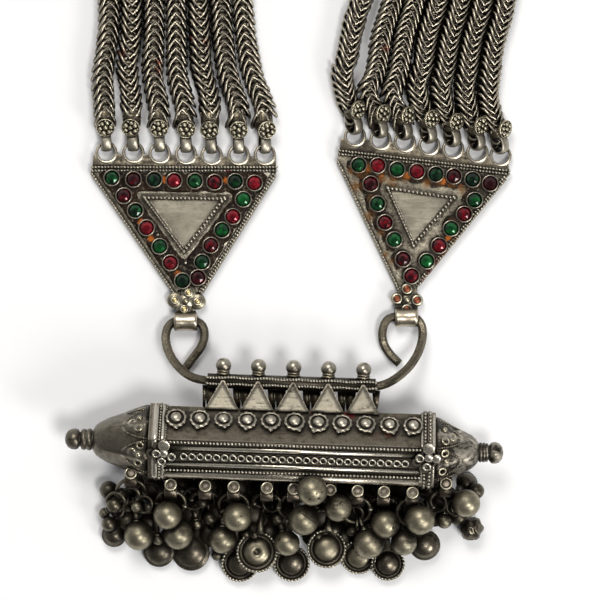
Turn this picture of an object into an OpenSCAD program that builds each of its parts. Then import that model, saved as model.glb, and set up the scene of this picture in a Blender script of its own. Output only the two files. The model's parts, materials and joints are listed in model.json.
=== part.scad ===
// Long silver necklace with an amulet case, laid flat and face up on the plane z = 0.
// Lengths are millimetres. The pendant hangs toward -Y and the neck loop closes toward +Y.

/* [Amulet case] */
// Length of the six-sided case body over its end bands
case_len = 70; // [68:0.5:72]
// Side of the hexagon that the case is bent to
case_side = 10; // [9.8:0.1:10.2]
// Thickness of the sheet that the case is bent from
case_wall = 0.8; // [0.6:0.1:1.2]
// Roll of the case about its length, zero with a ridge straight up
case_roll = -3.5; // [-5:0.5:0]
// Turn of the case on the surface, clockwise seen from above
case_turn = 1.9; // [1.5:0.1:2.2]
// Height of the case axis over the surface
case_z = 10.8; // [10.7:0.05:10.9]
// Distance between the bosses of the front row
boss_pitch = 5.8; // [5.6:0.1:6]
// Radius of a boss flange
boss_flange_r = 2.5; // [2.2:0.1:2.7]

/* [Hanger and hook] */
// Distance from the case axis to the hanger tube
hanger_y = 15.5; // [15.3:0.1:15.7]
// Length of the hanger tube
hanger_len = 41.5; // [41:0.5:42]
// Outer radius of the hanger tube
hanger_r = 1.75; // [1.7:0.05:1.8]
// Radius of the thick hook wire
hook_r = 1.15; // [1:0.05:1.2]
// Distance between the lugs and between the knobs
lug_pitch = 8.65; // [8.5:0.05:8.8]

/* [Plates] */
// Thickness of a triangular plate
plate_t = 2.2; // [2:0.1:2.4]
// Middle radius of a ring on a plate's top strip
ring_r = 2.05; // [2:0.05:2.1]
// Wire radius of a ring on a plate's top strip
ring_wire_r = 0.65; // [0.6:0.05:0.7]
// Outer radius of a stone's bezel
bezel_r = 2.25; // [2.15:0.05:2.3]
// Girdle radius of a cut stone
stone_r = 1.65; // [1.5:0.05:1.7]

/* [Chains] */
// Diameter of a foxtail chain strand
chain_d = 5; // [4.6:0.1:5]
// Length of a chain end cap from its eye to the strand
chain_cap_len = 7.2; // [7:0.1:7.4]

/* [Fringe] */
// Middle radius of a jump ring
jump_r = 3.5; // [3.3:0.1:3.6]
// Wire radius of a jump ring
jump_wire_r = 0.42; // [0.38:0.02:0.45]
// Middle radius of the small eye on each drop
eye_r = 1.05; // [1:0.05:1.1]
// Wire radius of the small eye on each drop
eye_wire_r = 0.32; // [0.3:0.02:0.34]

/* [Hidden] */
// Where the pendant's own frame lies under the middle of the whole necklace
frame_x = 0;
frame_y = 133.15;

SILVER = [0.62, 0.6, 0.56];
DARK_SILVER = [0.42, 0.41, 0.38];
RED_GLASS = [0.65, 0.03, 0.1];
GREEN_GLASS = [0.03, 0.45, 0.2];

STRANDS = 7;
SIDES = ["left", "right"];
CLUSTERS = 11;

$fn = 32;
GAP = 0.1;

// Small vector and sweep functions
function unit(v) = v / norm(v);
function flat(lists) = [for (l = lists, e = l) e];
function catmull(a, b, c, d, t) =
    0.5 * (2 * b + (c - a) * t + (2 * a - 5 * b + 4 * c - d) * t * t + (3 * b - a - 3 * c + d) * t * t * t);
function smooth(pts, n) = let (last = len(pts) - 1) concat(
    [for (i = [0:last - 1], j = [0:n - 1])
        catmull(pts[max(i - 1, 0)], pts[i], pts[i + 1], pts[min(i + 2, last)], j / n)],
    [pts[last]]);
function ring_at(centre, tangent, r, sides) =
    let (side = unit(cross(tangent, [0, 0, 1])), up = cross(side, tangent))
    [for (j = [0:sides - 1]) let (a = 360 * (j + 0.5) / sides)
        centre + r * cos(a) * side - r * sin(a) * up];
function tangent_at(pts, i) = let (last = len(pts) - 1) unit(pts[min(i + 1, last)] - pts[max(i - 1, 0)]);

// A closed solid through rings of points that all have the same number of sides
module loft(rings) {
    sides = len(rings[0]);
    last = len(rings) - 1;
    polyhedron(
        points = flat(rings),
        faces = concat(
            [[for (j = [0:sides - 1]) j]],
            [for (i = [0:last - 1], j = [0:sides - 1]) let (k = (j + 1) % sides)
                [i * sides + j, (i + 1) * sides + j, (i + 1) * sides + k, i * sides + k]],
            [[for (j = [sides - 1:-1:0]) last * sides + j]]),
        convexity = 6);
}

module tube_along(pts, r, sides) {
    loft([for (i = [0:len(pts) - 1]) ring_at(pts[i], tangent_at(pts, i), r, sides)]);
}

// Turns its children so that their X, Y and Z axes lie along three unit vectors, at a point
module placed(origin, x_axis, y_axis, z_axis) {
    multmatrix([
        [x_axis[0], y_axis[0], z_axis[0], origin[0]],
        [x_axis[1], y_axis[1], z_axis[1], origin[1]],
        [x_axis[2], y_axis[2], z_axis[2], origin[2]],
        [0, 0, 0, 1]]) children();
}

module to_origin() {
    translate([-frame_x, -frame_y, 0]) children();
}

// The case has its own frame: X along it, Y toward the hanger, Z up
CASE_X = -2;
CASE_Y = -36.35;
function case_point(p) = [
    CASE_X + p[0] * cos(case_turn) + p[1] * sin(case_turn),
    CASE_Y - p[0] * sin(case_turn) + p[1] * cos(case_turn),
    case_z + p[2]];

module in_case_frame() {
    translate([CASE_X, CASE_Y, case_z]) rotate([0, 0, -case_turn]) children();
}

module hex_bar(r, len) {
    rotate([case_roll, 0, 0]) rotate([0, 90, 0]) cylinder(r = r, h = len, center = true, $fn = 6);
}

// Puts its children on a long face of the case, Z outward and Y across the face
module on_case_face(tilt) {
    rotate([case_roll + tilt, 0, 0]) translate([0, 0, case_side * cos(30)]) children();
}

module rod_x(len, r) {
    rotate([0, 90, 0]) cylinder(r = r, h = len, center = true);
}

// Fringe loops on the case body, as places along the case
FRINGE_X = [-29.5, -21, -14, -5.8, 0.8, 9.8, 16.5, 23, 30];
FRINGE_FACE_Y = -8.3;
FRINGE_EYE_Y = -12.1;
FRINGE_Z = -0.8;
STRAP_W = 3;
STRAP_T = 0.9;
EYE_OUTER = 1.75;
EYE_BORE = 1.05;
COLLAR_R = 1.5;
COLLAR_Y = 1.7;

// A strap that stands off the case, with an eye along X at its end and a small collar on top
module fringe_loop(x, face_y, eye_y) {
    reach = face_y - eye_y;
    translate([x, 0, FRINGE_Z]) difference() {
        union() {
            translate([0, eye_y, 0]) rod_x(STRAP_W, EYE_OUTER);
            translate([-STRAP_W / 2, eye_y, 0.3]) cube([STRAP_W, reach, STRAP_T]);
            translate([0, eye_y + COLLAR_Y, 0.5]) cylinder(r = COLLAR_R, h = 2.4);
        }
        translate([0, eye_y, 0]) rod_x(STRAP_W + 1, EYE_BORE);
        translate([0, eye_y + COLLAR_Y, 2.2]) cylinder(r = COLLAR_R / 2, h = 1);
    }
}

BAND_W = 1.9;
BEADED_BAND_W = 1.4;
END_STEP = 0.2;
SPIGOT_R = 4;

module case_shell() {
    difference() {
        hex_bar(case_side, case_len - 2 * END_STEP);
        hex_bar(case_side - case_wall / cos(30), case_len - 2 * END_STEP - 2 * case_wall);
        rod_x(case_len + 2, SPIGOT_R);
    }
    for (end = [-1, 1]) {
        translate([end * (case_len - BAND_W) / 2, 0, 0]) band(case_side + 0.55, BAND_W);
        translate([end * (case_len / 2 - BAND_W - END_STEP - BEADED_BAND_W / 2), 0, 0])
            band(case_side + 0.4, BEADED_BAND_W);
    }
}

module band(r, w) {
    difference() {
        hex_bar(r, w);
        hex_bar(case_side - 0.2, w + 1);
    }
}

// Row of flanged bosses on the upper front face
BOSSES = 11;
BOSS_FIRST = -28.5;
BOSS_ACROSS = 1.1;
module boss_row() {
    on_case_face(-30) for (i = [0:BOSSES - 1]) translate([BOSS_FIRST + boss_pitch * i, BOSS_ACROSS, -0.1]) {
        rotate([0, 0, 11 * i]) cylinder(r = boss_flange_r, h = 0.6, $fn = 8);
        cylinder(r = 1.75, h = 0.8);
        intersection() {
            translate([0, 0, 0.3]) sphere(r = 1.35);
            cylinder(r = 2, h = 3);
        }
    }
}

// Wires along the lower front face: [place across the face, radius]
FRONT_WIRES = [[4.7, 0.45], [3.1, 0.6], [-1.3, 0.6], [-2.9, 0.45]];
FLOWER_X = 32.4;
module front_wires() {
    on_case_face(30) {
        for (w = FRONT_WIRES) translate([0, w[0], 0]) rod_x(case_len - 7.4, w[1]);
        translate([0, 0.9, 0]) cube([case_len - 8, 2.4, 0.5], center = true);
        translate([0, -4.3, -0.7]) rod_x(case_len - 2, 1.2);
    }
}

// Four ring cups round a centre grain
module four_ring_flower(cup_r, spread, h) {
    cylinder(r = 0.55 * spread, h = h);
    for (a = [0:90:270]) rotate([0, 0, a]) translate([0, spread, 0]) difference() {
        cylinder(r = cup_r, h = h);
        translate([0, 0, h - 0.4]) cylinder(r = 0.55 * cup_r, h = 1);
    }
}

// Lugs fold over the hanger tube: a front and a back triangle from each edge of the rear face
KNOBS = 5;
KNOB_FIRST = -17.5;
LUG_W = 8;
LUG_T = 0.7;
HANGER_X = -0.6;
HANGER_Z = 0.3;
HANGER_PLAY = 0.2;
module lug(from_y, from_z, to_y, to_z) {
    slope = atan2(to_z - from_z, to_y - from_y);
    len = norm([to_y - from_y, to_z - from_z]);
    translate([0, from_y, from_z]) rotate([slope, 0, 0]) translate([0, 0, -LUG_T / 2])
        linear_extrude(LUG_T) polygon([[-LUG_W / 2, 0], [LUG_W / 2, 0], [0.35, len], [-0.35, len]]);
}

module hanger() {
    difference() {
        union() {
            translate([HANGER_X, hanger_y, HANGER_Z]) rod_x(hanger_len, hanger_r);
            for (y = [-1, 1]) translate([HANGER_X, hanger_y + 0.85 * y, HANGER_Z + 1.35])
                rod_x(hanger_len, 0.4);
            for (i = [0:KNOBS - 1]) translate([KNOB_FIRST + lug_pitch * i, 0, 0]) {
                lug(8.6, 4.9, hanger_y, HANGER_Z + hanger_r - 0.3);
                lug(8.3, -5.1, hanger_y, HANGER_Z - hanger_r + 0.3);
                translate([0, hanger_y + hanger_r - 0.3, HANGER_Z]) knob();
            }
        }
        translate([HANGER_X, hanger_y, HANGER_Z]) rod_x(hanger_len + 2, hook_r + HANGER_PLAY);
    }
}

module knob() {
    rotate([-90, 0, 0]) {
        cylinder(r = 1.35, h = 0.9);
        cylinder(r = 0.85, h = 2.4);
        translate([0, 0, 2.6]) sphere(r = 1.6);
    }
}

module amulet_case() {
    color(SILVER) in_case_frame() {
        case_shell();
        boss_row();
        front_wires();
        hanger();
        for (x = FRINGE_X) fringe_loop(x, FRINGE_FACE_Y, FRINGE_EYE_Y);
        on_case_face(30) for (end = [-1, 1]) translate([end * FLOWER_X, 1.9, 0]) four_ring_flower(1.2, 1.75, 1.3);
    }
}

// End caps: a six-sided dome cut from three profiles, then a collar and a ball
// Profile rows: [distance from the case, half width between flats]
LEFT_DOME = [[0, 7.2], [4, 6.9], [8, 5.7], [11.5, 4.2], [14, 2.9]];
RIGHT_DOME = [[0, 7.1], [2.5, 6.7], [5.5, 5.5], [8.5, 3.9], [11, 2.7]];
module dome(rows) {
    intersection_for (a = [0, 60, 120]) rotate([case_roll + a, 0, 0]) linear_extrude(40, center = true)
        polygon(concat([for (r = rows) [r[0], r[1]]], [for (i = [len(rows) - 1:-1:0]) [rows[i][0], -rows[i][1]]]));
}

CAP_EYE_Y = -9.6;
// A cap points along +X from the end of the case; flip is -1 on the left end
module end_cap(rows, collar_r, ball_r, ball_x, loop_x, flip) {
    tip = rows[len(rows) - 1][0];
    color(SILVER) in_case_frame() {
        mirror([flip < 0 ? 1 : 0, 0, 0]) translate([case_len / 2 + GAP, 0, 0]) {
            dome(rows);
            translate([-2, 0, 0]) rod_end(SPIGOT_R - GAP, 2.5);
            translate([tip - 0.5, 0, 0]) rod_end(collar_r - 0.5, ball_x - tip);
            translate([tip + 0.25, 0, 0]) rod_end(collar_r, 1.7);
            translate([ball_x, 0, 0]) intersection() {
                sphere(r = ball_r);
                translate([-1.2, -5, -5]) cube(10);
            }
        }
        fringe_loop(loop_x, -5.6, CAP_EYE_Y);
    }
}

module rod_end(r, len) {
    rotate([0, 90, 0]) cylinder(r = r, h = len);
}

module left_end_cap() {
    end_cap(LEFT_DOME, 2.9, 3, 18.6, -39.4, -1);
}

module right_end_cap() {
    end_cap(RIGHT_DOME, 2.6, 2.75, 14.6, 38.2, 1);
}

// The thick wire: an open eye at each end, and a straight run through the hanger tube
LEFT_HOOK = [
    [-28.8, -17.2, 1.6], [-26.8, -14.5, 1.7], [-24.8, -11.8, 1.9], [-23.9, -9, 2.2], [-24.4, -6.4, 2.4],
    [-26.6, -5.2, 2.5], [-30.6, -5.2, 2.5], [-32.7, -6.4, 3], [-33.5, -9, 4.4], [-33, -12, 6],
    [-31.4, -15.2, 7.9], [-28.8, -18, 9.8], [-26.2, -19.5, 10.8]];
RIGHT_HOOK = [
    [21.5, -20.9, 10.8], [24.2, -19.3, 9.8], [27.2, -16.6, 7.9], [29.4, -13.2, 6], [30.5, -9.6, 4.4],
    [30.4, -6.5, 3.1], [28.6, -4.4, 2.45], [24, -4.15, 2.5], [21.6, -5.2, 2.4], [20.6, -8, 2.2],
    [21, -11, 1.9], [22.6, -13.6, 1.7], [24.9, -15.9, 1.6]];
HOOK_SIDES = 8;
module hook_wire() {
    half = hanger_len / 2 + 0.6;
    route = concat(
        smooth(concat(LEFT_HOOK, [case_point([HANGER_X - half, hanger_y, HANGER_Z])]), 3),
        smooth(concat([case_point([HANGER_X + half, hanger_y, HANGER_Z])], RIGHT_HOOK), 3));
    color(SILVER) tube_along(route, hook_r, HOOK_SIDES);
}

// Triangular plates, one table for each: outlines of the body and of the top strip
LEFT_BODY = [[-52, 33.5], [-52.5, 31.5], [-32, 1.7], [-24.3, 1.7], [-6, 31], [-6, 33.5]];
LEFT_STRIP = [[-51.5, 40], [-52, 33.4], [-6, 33.4], [-6, 38.5]];
LEFT_INNER = [[-39.8, 26.2], [-18, 25.9], [-29, 11.3]];
LEFT_FLOWER = [-28.5, -0.3];
LEFT_BAIL = [-28.6, -5.2];
RIGHT_BODY = [[9.8, 37.8], [9.2, 34.6], [24.2, 2.7], [29.8, 3.3], [51.9, 30.2], [52.4, 32.7]];
RIGHT_STRIP = [[11.5, 43.6], [9.8, 37.7], [52.4, 32.6], [52.8, 37.4]];
RIGHT_INNER = [[21.3, 28.7], [39.4, 26], [28.4, 12.8]];
RIGHT_FLOWER = [26.9, -0.3];
RIGHT_BAIL = [26.2, -4.3];

// Middles of the seven strip rings
LEFT_RINGS = [[-48.6, 37], [-41.8, 37], [-35.2, 36.8], [-28.6, 36.6], [-22.2, 36.4], [-15.4, 36.4], [-8.8, 36.4]];
RIGHT_RINGS = [[13.8, 41.1], [20.2, 40.2], [26.3, 39.7], [32.4, 38.9], [38.4, 38], [44.5, 37.1], [50.3, 36.2]];

// Stones: [x, y]
LEFT_RED = [[-41.7, 30.2], [-31.5, 29.9], [-21.4, 29.5], [-11.4, 29.3], [-44.1, 26.1], [-38.4, 18.1],
    [-32.4, 9.3], [-25.5, 5.6], [-22.3, 13.7], [-16.8, 20.9]];
LEFT_GREEN = [[-47.1, 30.6], [-36.5, 30.2], [-26.3, 29.8], [-16.2, 29.7], [-41.2, 22.4], [-35.1, 13.4],
    [-29.4, 4.8], [-24.5, 9.5], [-19.5, 17.5], [-14.2, 25.2]];
RIGHT_RED = [[19.5, 33.7], [29.3, 32.2], [38.5, 31], [47.6, 29.2], [17.7, 29.1], [21.3, 19.4], [25.8, 10.2],
    [27.9, 6], [34.8, 13.6], [41.1, 21.5]];
RIGHT_GREEN = [[14.7, 33.8], [24.3, 32.7], [34, 31.5], [43.2, 30.2], [19.4, 24.1], [23.6, 15.1],
    [31.7, 9.7], [37.8, 17.9], [43.7, 25]];

RING_Z = 1.9;
BEZEL_FLOOR = 0.3;
BEZEL_H = 1.3;
BAIL_OUTER = 2.3;
BAIL_BORE = 1.65;
BAIL_W = 5;
BAIL_Z = 2.5;
EYE_SLOT = 3.2;

module plate(body, strip, inner, rings, stones, flower, bail) {
    color(SILVER) difference() {
        union() {
            linear_extrude(plate_t) polygon(body);
            difference() {
                linear_extrude(plate_t - 0.2) polygon(strip);
                for (r = rings) translate([r[0], r[1], -1]) {
                    cylinder(r = ring_r - 0.4, h = 6);
                    translate([-EYE_SLOT / 2, 0, 0]) cube([EYE_SLOT, 6, 6]);
                }
            }
            for (r = rings) translate([r[0], r[1], RING_Z])
                rotate_extrude() translate([ring_r, 0]) circle(r = ring_wire_r);
            for (s = stones) translate([s[0], s[1], 0.5]) cylinder(r = bezel_r, h = plate_t + BEZEL_H - 0.5);
            linear_extrude(plate_t + 0.7) polygon(inner);
            translate([flower[0], flower[1], 0.5]) {
                cylinder(r = 2.6, h = 1.6);
                four_ring_flower(1.5, 2.1, 3.2);
                cylinder(r = 0.7, h = 3.6);
            }
            translate([bail[0], bail[1], BAIL_Z]) rod_x(BAIL_W, BAIL_OUTER);
            translate([bail[0] - BAIL_W / 2 + 0.5, bail[1] + BAIL_BORE + 0.15, 1])
                cube([BAIL_W - 1, flower[1] - bail[1] - BAIL_BORE, 1.2]);
        }
        translate([bail[0], bail[1], BAIL_Z]) rod_x(BAIL_W + 1, BAIL_BORE);
        for (s = stones) translate([s[0], s[1], plate_t + BEZEL_FLOOR - GAP]) cylinder(r = stone_r + GAP + 0.03, h = 3);
    }
}

module left_plate() {
    plate(LEFT_BODY, LEFT_STRIP, LEFT_INNER, LEFT_RINGS, concat(LEFT_RED, LEFT_GREEN), LEFT_FLOWER, LEFT_BAIL);
}

module right_plate() {
    plate(RIGHT_BODY, RIGHT_STRIP, RIGHT_INNER, RIGHT_RINGS, concat(RIGHT_RED, RIGHT_GREEN),
        RIGHT_FLOWER, RIGHT_BAIL);
}

// A cut stone from culet to table: [share of the girdle radius, height]
STONE_CUT = [[0.5, 0], [1, 0.5], [1, 0.75], [0.6, 1.3]];
STONE_SIDES = 10;
module stones(places, tint) {
    color(tint) for (p = places) translate([p[0], p[1], plate_t + BEZEL_FLOOR])
        loft([for (c = STONE_CUT) [for (j = [0:STONE_SIDES - 1])
            [stone_r * c[0] * cos(360 * j / STONE_SIDES), -stone_r * c[0] * sin(360 * j / STONE_SIDES), c[1]]]]);
}

// Chain ends: the eye goes round the far side of a strip ring, and the cap leans with its chain
LEFT_LEAN = 3;
RIGHT_LEAN = 20;
RIGHT_ROLL = 12;
CHAIN_Z = 2.65;
function eye_at(ring) = [ring[0], ring[1] + ring_r - 0.2, RING_Z];
function lean_of(side) = side == "left" ? LEFT_LEAN : RIGHT_LEAN;
function rings_of(side) = side == "left" ? LEFT_RINGS : RIGHT_RINGS;
CHAIN_LEAD = 3;
function past_eye(side, ring, reach) = eye_at(ring) + [
    -reach * sin(lean_of(side)), reach * cos(lean_of(side)), CHAIN_Z - RING_Z];
function mouth_of(side, ring) = past_eye(side, ring, chain_cap_len);
function lead_of(side, ring) = past_eye(side, ring, chain_cap_len + CHAIN_LEAD);

STRAP_EYE_OUTER = 1.75;
STRAP_EYE_BORE = 1.15;
STRAP_EYE_W = 2.1;
module chain_end(side, ring) {
    lean = lean_of(side);
    roll = side == "left" ? 0 : RIGHT_ROLL;
    mouth_r = chain_d / 2 - 0.1;
    color(SILVER) {
        translate(eye_at(ring)) difference() {
            rod_x(STRAP_EYE_W, STRAP_EYE_OUTER);
            rod_x(STRAP_EYE_W + 1, STRAP_EYE_BORE);
        }
        translate([eye_at(ring)[0], eye_at(ring)[1], CHAIN_Z]) rotate([0, 0, lean]) {
            translate([0, 1.5, -0.3]) rotate([-90, 0, 0]) cylinder(r1 = 1.1, r2 = mouth_r - 0.2, h = 3.2);
            translate([0, 4.6, 0]) rotate([-90, 0, 0]) cylinder(r = mouth_r, h = chain_cap_len - 4.6 - GAP);
            rotate([0, roll, 0]) translate([0, 4.2, 1.6]) {
                cylinder(r = 2.15, h = 1.3);
                cylinder(r = 1.5, h = 1.9);
            }
        }
    }
}

// Route of the middle strand round the neck: [x, y, outward angle, distance between strands]
ROUTE = [
    [-30.4, 57.8, 181, 6.2], [-30.6, 66, 181, 5.8], [-30.8, 74, 182, 5.6], [-31.8, 90, 185, 5.5],
    [-35, 112, 194, 5.4], [-42.5, 136, 200, 5.4], [-52, 160, 202, 5.4], [-61.5, 185, 199, 5.4],
    [-69, 210, 193, 5.4], [-73, 235, 184, 5.4], [-72.5, 260, 172, 5.4], [-65, 283, 153, 5.4],
    [-49, 302, 130, 5.4], [-26, 314, 108, 5.4], [0, 318, 90, 5.4], [26, 314, 72, 5.4],
    [49, 302, 50, 5.4], [65, 283, 27, 5.4], [72.5, 260, 8, 5.4], [73, 235, -4, 5.4],
    [70.5, 210, -10, 5.4], [65.5, 185, -14, 5.4], [58.5, 160, -17, 5.4], [51, 136, -17, 5.4],
    [44, 112, -16, 5.4], [37.5, 90, -15, 5.4], [33.5, 74, -12, 5.5], [31.2, 66, -9, 5.6],
    [29.8, 57.8, -5, 5.7]];
CHAIN_SIDES = 8;
CHAIN_STEPS = 2;

// Strand 1 is the outermost, so it joins the first ring on the left and the last on the right
function strand_point(row, k) = [
    row[0] + (4 - k) * row[3] * cos(row[2]),
    row[1] + (4 - k) * row[3] * sin(row[2]),
    CHAIN_Z];
function strand_route(k) = let (first = LEFT_RINGS[k - 1], last = RIGHT_RINGS[STRANDS - k]) concat(
    [mouth_of("left", first)],
    smooth(concat(
        [lead_of("left", first)],
        [for (row = ROUTE) strand_point(row, k)],
        [lead_of("right", last)]), CHAIN_STEPS),
    [mouth_of("right", last)]);

module chain_strand(k) {
    color(DARK_SILVER) tube_along(strand_route(k), chain_d / 2, CHAIN_SIDES);
}

// Fringe: each cluster is a jump ring through one eye, with the drops that hang on it
// Drops: [kind, x, y, z, radius, place round the jump ring if it isn't the nearest]
CLUSTER_EYES = concat([[-39.4, CAP_EYE_Y]], [for (x = FRINGE_X) [x, FRINGE_EYE_Y]], [[38.2, CAP_EYE_Y]]);
JUMP_DIP = [35, 35, 60, 35, 60, 30, 55, 25, 60, 20, 40];
DROPS = [
    [["dish", -46.6, -58.7, 2.4, 4.2], ["ball", -48.7, -53.2, 3.5, 1.4], ["ball", -40, -58.6, 6, 3.3],
        ["ball", -40.4, -51.4, 9.2, 1.4]],
    [["ball", -32.7, -53.4, 10.8, 3.1, -26], ["ball", -30.2, -58.3, 6.8, 3.3, 28],
        ["ball", -35.3, -59.6, 5.5, 1.4, -62], ["dish", -35.2, -62.8, 1.9, 4, 0]],
    [["dish", -26.8, -63.3, 1.9, 4.2, -12], ["ball", -25.6, -55.9, 5.6, 1.3, -55], ["ball", -20.7, -63.7, 1.7, 1.4, 14]],
    [["ball", -15.5, -53.8, 11, 3.2, 46], ["ball", -19.2, -59.6, 5.6, 3.1, -35], ["dish", -15, -65.7, 1.9, 4.4, 5]],
    [["dish", -10.7, -62.7, 5, 4.9, -15], ["ball", -3.2, -60.4, 7.6, 2.8, 35]],
    [["ball", 0.6, -55.4, 11, 3.3, 48], ["ball", 3, -48, 18.6, 3.3, 92], ["dish", -2.1, -65.7, 1.9, 4.4, -10]],
    [["ball", 9.4, -52.6, 13.8, 3.2, -60], ["dish", 6.5, -62.1, 5, 4.7]],
    [["dish", 14.2, -64, 1.9, 4.3], ["ball", 17.1, -60.5, 7, 3.4]],
    [["ball", 21.1, -55.6, 9.6, 3.2, -25], ["dish", 22.8, -65.4, 1.9, 4.2, 5], ["ball", 25.7, -60.2, 7.8, 2.9, 40]],
    [["ball", 29.5, -55.1, 12.2, 3.4, 45], ["dish", 31, -61.2, 3.5, 4.2, 10]],
    [["ball", 41.8, -50.8, 11.6, 3.05, 68], ["dish", 42.7, -56.7, 3.5, 3.9], ["ball", 35.8, -55, 6, 1.5],
        ["dish", 42.2, -46.4, 2.2, 3.6, 122]]
];

// How far the small eye sits out from the jump ring's middle line, and how steeply a dish lies
EYE_SHIFT = 0.15;
DISH_LEAN = 0.35;
module cluster(k) {
    eye = case_point([CLUSTER_EYES[k][0], CLUSTER_EYES[k][1], FRINGE_Z]);
    dip = JUMP_DIP[k];
    across = [cos(case_turn), -sin(case_turn), 0];
    down = [-sin(case_turn) * cos(dip), -cos(case_turn) * cos(dip), -sin(dip)];
    centre = eye + jump_r * down;
    color(SILVER) {
        placed(centre, across, down, cross(across, down))
            rotate_extrude() translate([jump_r, 0]) circle(r = jump_wire_r);
        for (drop = DROPS[k]) hung_drop(drop, centre, across, down);
    }
}

module hung_drop(drop, centre, across, down) {
    body = [drop[1], drop[2], drop[3]];
    arm = body - centre;
    angle = len(drop) > 5 ? drop[5] : atan2(arm * across, arm * down);
    hold = centre + jump_r * (cos(angle) * down + sin(angle) * across);
    along = -sin(angle) * down + cos(angle) * across;
    toward = body - hold;
    level = unit(toward - (toward * along) * along);
    placed(hold + EYE_SHIFT * level, level, cross(along, level), along)
        rotate_extrude() translate([eye_r, 0]) circle(r = eye_wire_r);
    neck = hold + (EYE_SHIFT + eye_r) * level;
    if (drop[0] == "ball") {
        translate(body) sphere(r = drop[4]);
        stem(neck, body);
    } else {
        lie = unit([-toward[0], -toward[1], -toward[2] * DISH_LEAN]);
        stem(neck, body + (drop[4] - 0.5) * lie);
        dish_axis = unit(cross(lie, cross([0, 0, 1], lie)));
        placed(body, lie, cross(dish_axis, lie), dish_axis) dish(drop[4]);
    }
}

module stem(from, to) {
    span = to - from;
    reach = norm(span);
    if (reach > 0.2) translate(from) rotate([0, acos(span[2] / reach), atan2(span[1], span[0])])
        cylinder(r = 0.5, h = reach);
}

// A dished disc: raised rim, domed boss with a pit, and a shallow domed back
module dish(r) {
    difference() {
        union() {
            cylinder(r = r, h = 0.9);
            translate([0, 0, -0.5]) cylinder(r = r - 0.9, h = 0.6);
        }
        translate([0, 0, 0.4]) cylinder(r = r - 0.6, h = 1);
    }
    intersection() {
        translate([0, 0, -0.8]) sphere(r = 0.62 * r);
        cylinder(r = r, h = 4);
    }
}

to_origin() amulet_case();
to_origin() left_end_cap();
to_origin() right_end_cap();
to_origin() hook_wire();
to_origin() left_plate();
to_origin() right_plate();
to_origin() stones(LEFT_RED, RED_GLASS);  // left_red_stones
to_origin() stones(LEFT_GREEN, GREEN_GLASS);  // left_green_stones
to_origin() stones(RIGHT_RED, RED_GLASS);  // right_red_stones
to_origin() stones(RIGHT_GREEN, GREEN_GLASS);  // right_green_stones
for (side = SIDES, k = [1:STRANDS])
    to_origin() chain_end(side, rings_of(side)[k - 1]);
for (k = [1:STRANDS]) to_origin() chain_strand(k);
for (k = [1:CLUSTERS]) to_origin() cluster(k - 1);
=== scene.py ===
"""Looks of the long silver necklace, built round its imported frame."""
import json
import math
import random

import bpy
from mathutils import Matrix, Vector

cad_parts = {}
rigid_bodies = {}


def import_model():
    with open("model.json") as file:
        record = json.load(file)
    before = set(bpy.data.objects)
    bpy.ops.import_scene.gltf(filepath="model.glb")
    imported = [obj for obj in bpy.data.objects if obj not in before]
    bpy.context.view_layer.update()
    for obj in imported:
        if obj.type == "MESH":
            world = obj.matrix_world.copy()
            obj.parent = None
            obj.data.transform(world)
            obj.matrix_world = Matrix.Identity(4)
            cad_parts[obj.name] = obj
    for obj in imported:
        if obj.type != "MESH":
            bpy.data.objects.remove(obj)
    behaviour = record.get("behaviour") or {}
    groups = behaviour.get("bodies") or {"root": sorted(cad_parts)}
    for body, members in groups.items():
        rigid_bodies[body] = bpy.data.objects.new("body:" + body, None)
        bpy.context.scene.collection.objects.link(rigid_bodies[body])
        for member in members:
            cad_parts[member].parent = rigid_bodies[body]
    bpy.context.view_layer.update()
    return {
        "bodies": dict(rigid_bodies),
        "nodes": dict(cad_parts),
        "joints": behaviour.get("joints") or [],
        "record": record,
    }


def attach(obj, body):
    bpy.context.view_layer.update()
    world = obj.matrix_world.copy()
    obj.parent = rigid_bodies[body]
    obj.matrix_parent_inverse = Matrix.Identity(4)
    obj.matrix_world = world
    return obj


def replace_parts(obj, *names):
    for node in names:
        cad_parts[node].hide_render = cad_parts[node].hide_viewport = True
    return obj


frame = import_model()
nodes = frame["nodes"]

MM = 0.001
BODY = "root"

# The pendant's own origin in the row frame, and the photo's scale about it
PENDANT_Y = -133.15
PHOTO_MIDDLE = 300
MM_PER_PIXEL = 0.25


def pendant(x, y, z=0.0):
    """A point of the pendant's own frame, in mm, as a row frame vector in metres."""
    return Vector((x, y + PENDANT_Y, z)) * MM


def pixel(px, py, z=0.0):
    """A point of the photo at a height in mm, as a row frame vector in metres."""
    return pendant((px - PHOTO_MIDDLE) * MM_PER_PIXEL, (PHOTO_MIDDLE - py) * MM_PER_PIXEL, z)


# Small node helpers
def feed(tree, socket, value):
    """Gives a socket a fixed value or the output of another node."""
    if isinstance(value, (int, float, tuple)):
        socket.default_value = value
    else:
        tree.links.new(value, socket)


def object_place(tree):
    return tree.nodes.new("ShaderNodeTexCoord").outputs["Object"]


def read_layer(tree, label):
    """The number that set_layer stored for each point."""
    node = tree.nodes.new("ShaderNodeAttribute")
    node.attribute_name = label
    return node.outputs["Fac"]


def noise(tree, vector, scale, detail=3.0, rough=0.6):
    node = tree.nodes.new("ShaderNodeTexNoise")
    for label, value in (("Vector", vector), ("Scale", scale), ("Detail", detail), ("Roughness", rough)):
        feed(tree, node.inputs[label], value)
    return node.outputs["Fac"]


def bump_from(tree, height, strength, depth=0.0002):
    """A normal from a height between 0 and 1. The depth is in metres."""
    node = tree.nodes.new("ShaderNodeBump")
    for label, value in (("Height", height), ("Strength", strength), ("Distance", depth)):
        feed(tree, node.inputs[label], value)
    return node.outputs["Normal"]


def maths(tree, operation, a, b=None, clamp=False):
    node = tree.nodes.new("ShaderNodeMath")
    node.operation = operation
    node.use_clamp = clamp
    feed(tree, node.inputs[0], a)
    if b is not None:
        feed(tree, node.inputs[1], b)
    return node.outputs[0]


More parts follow.
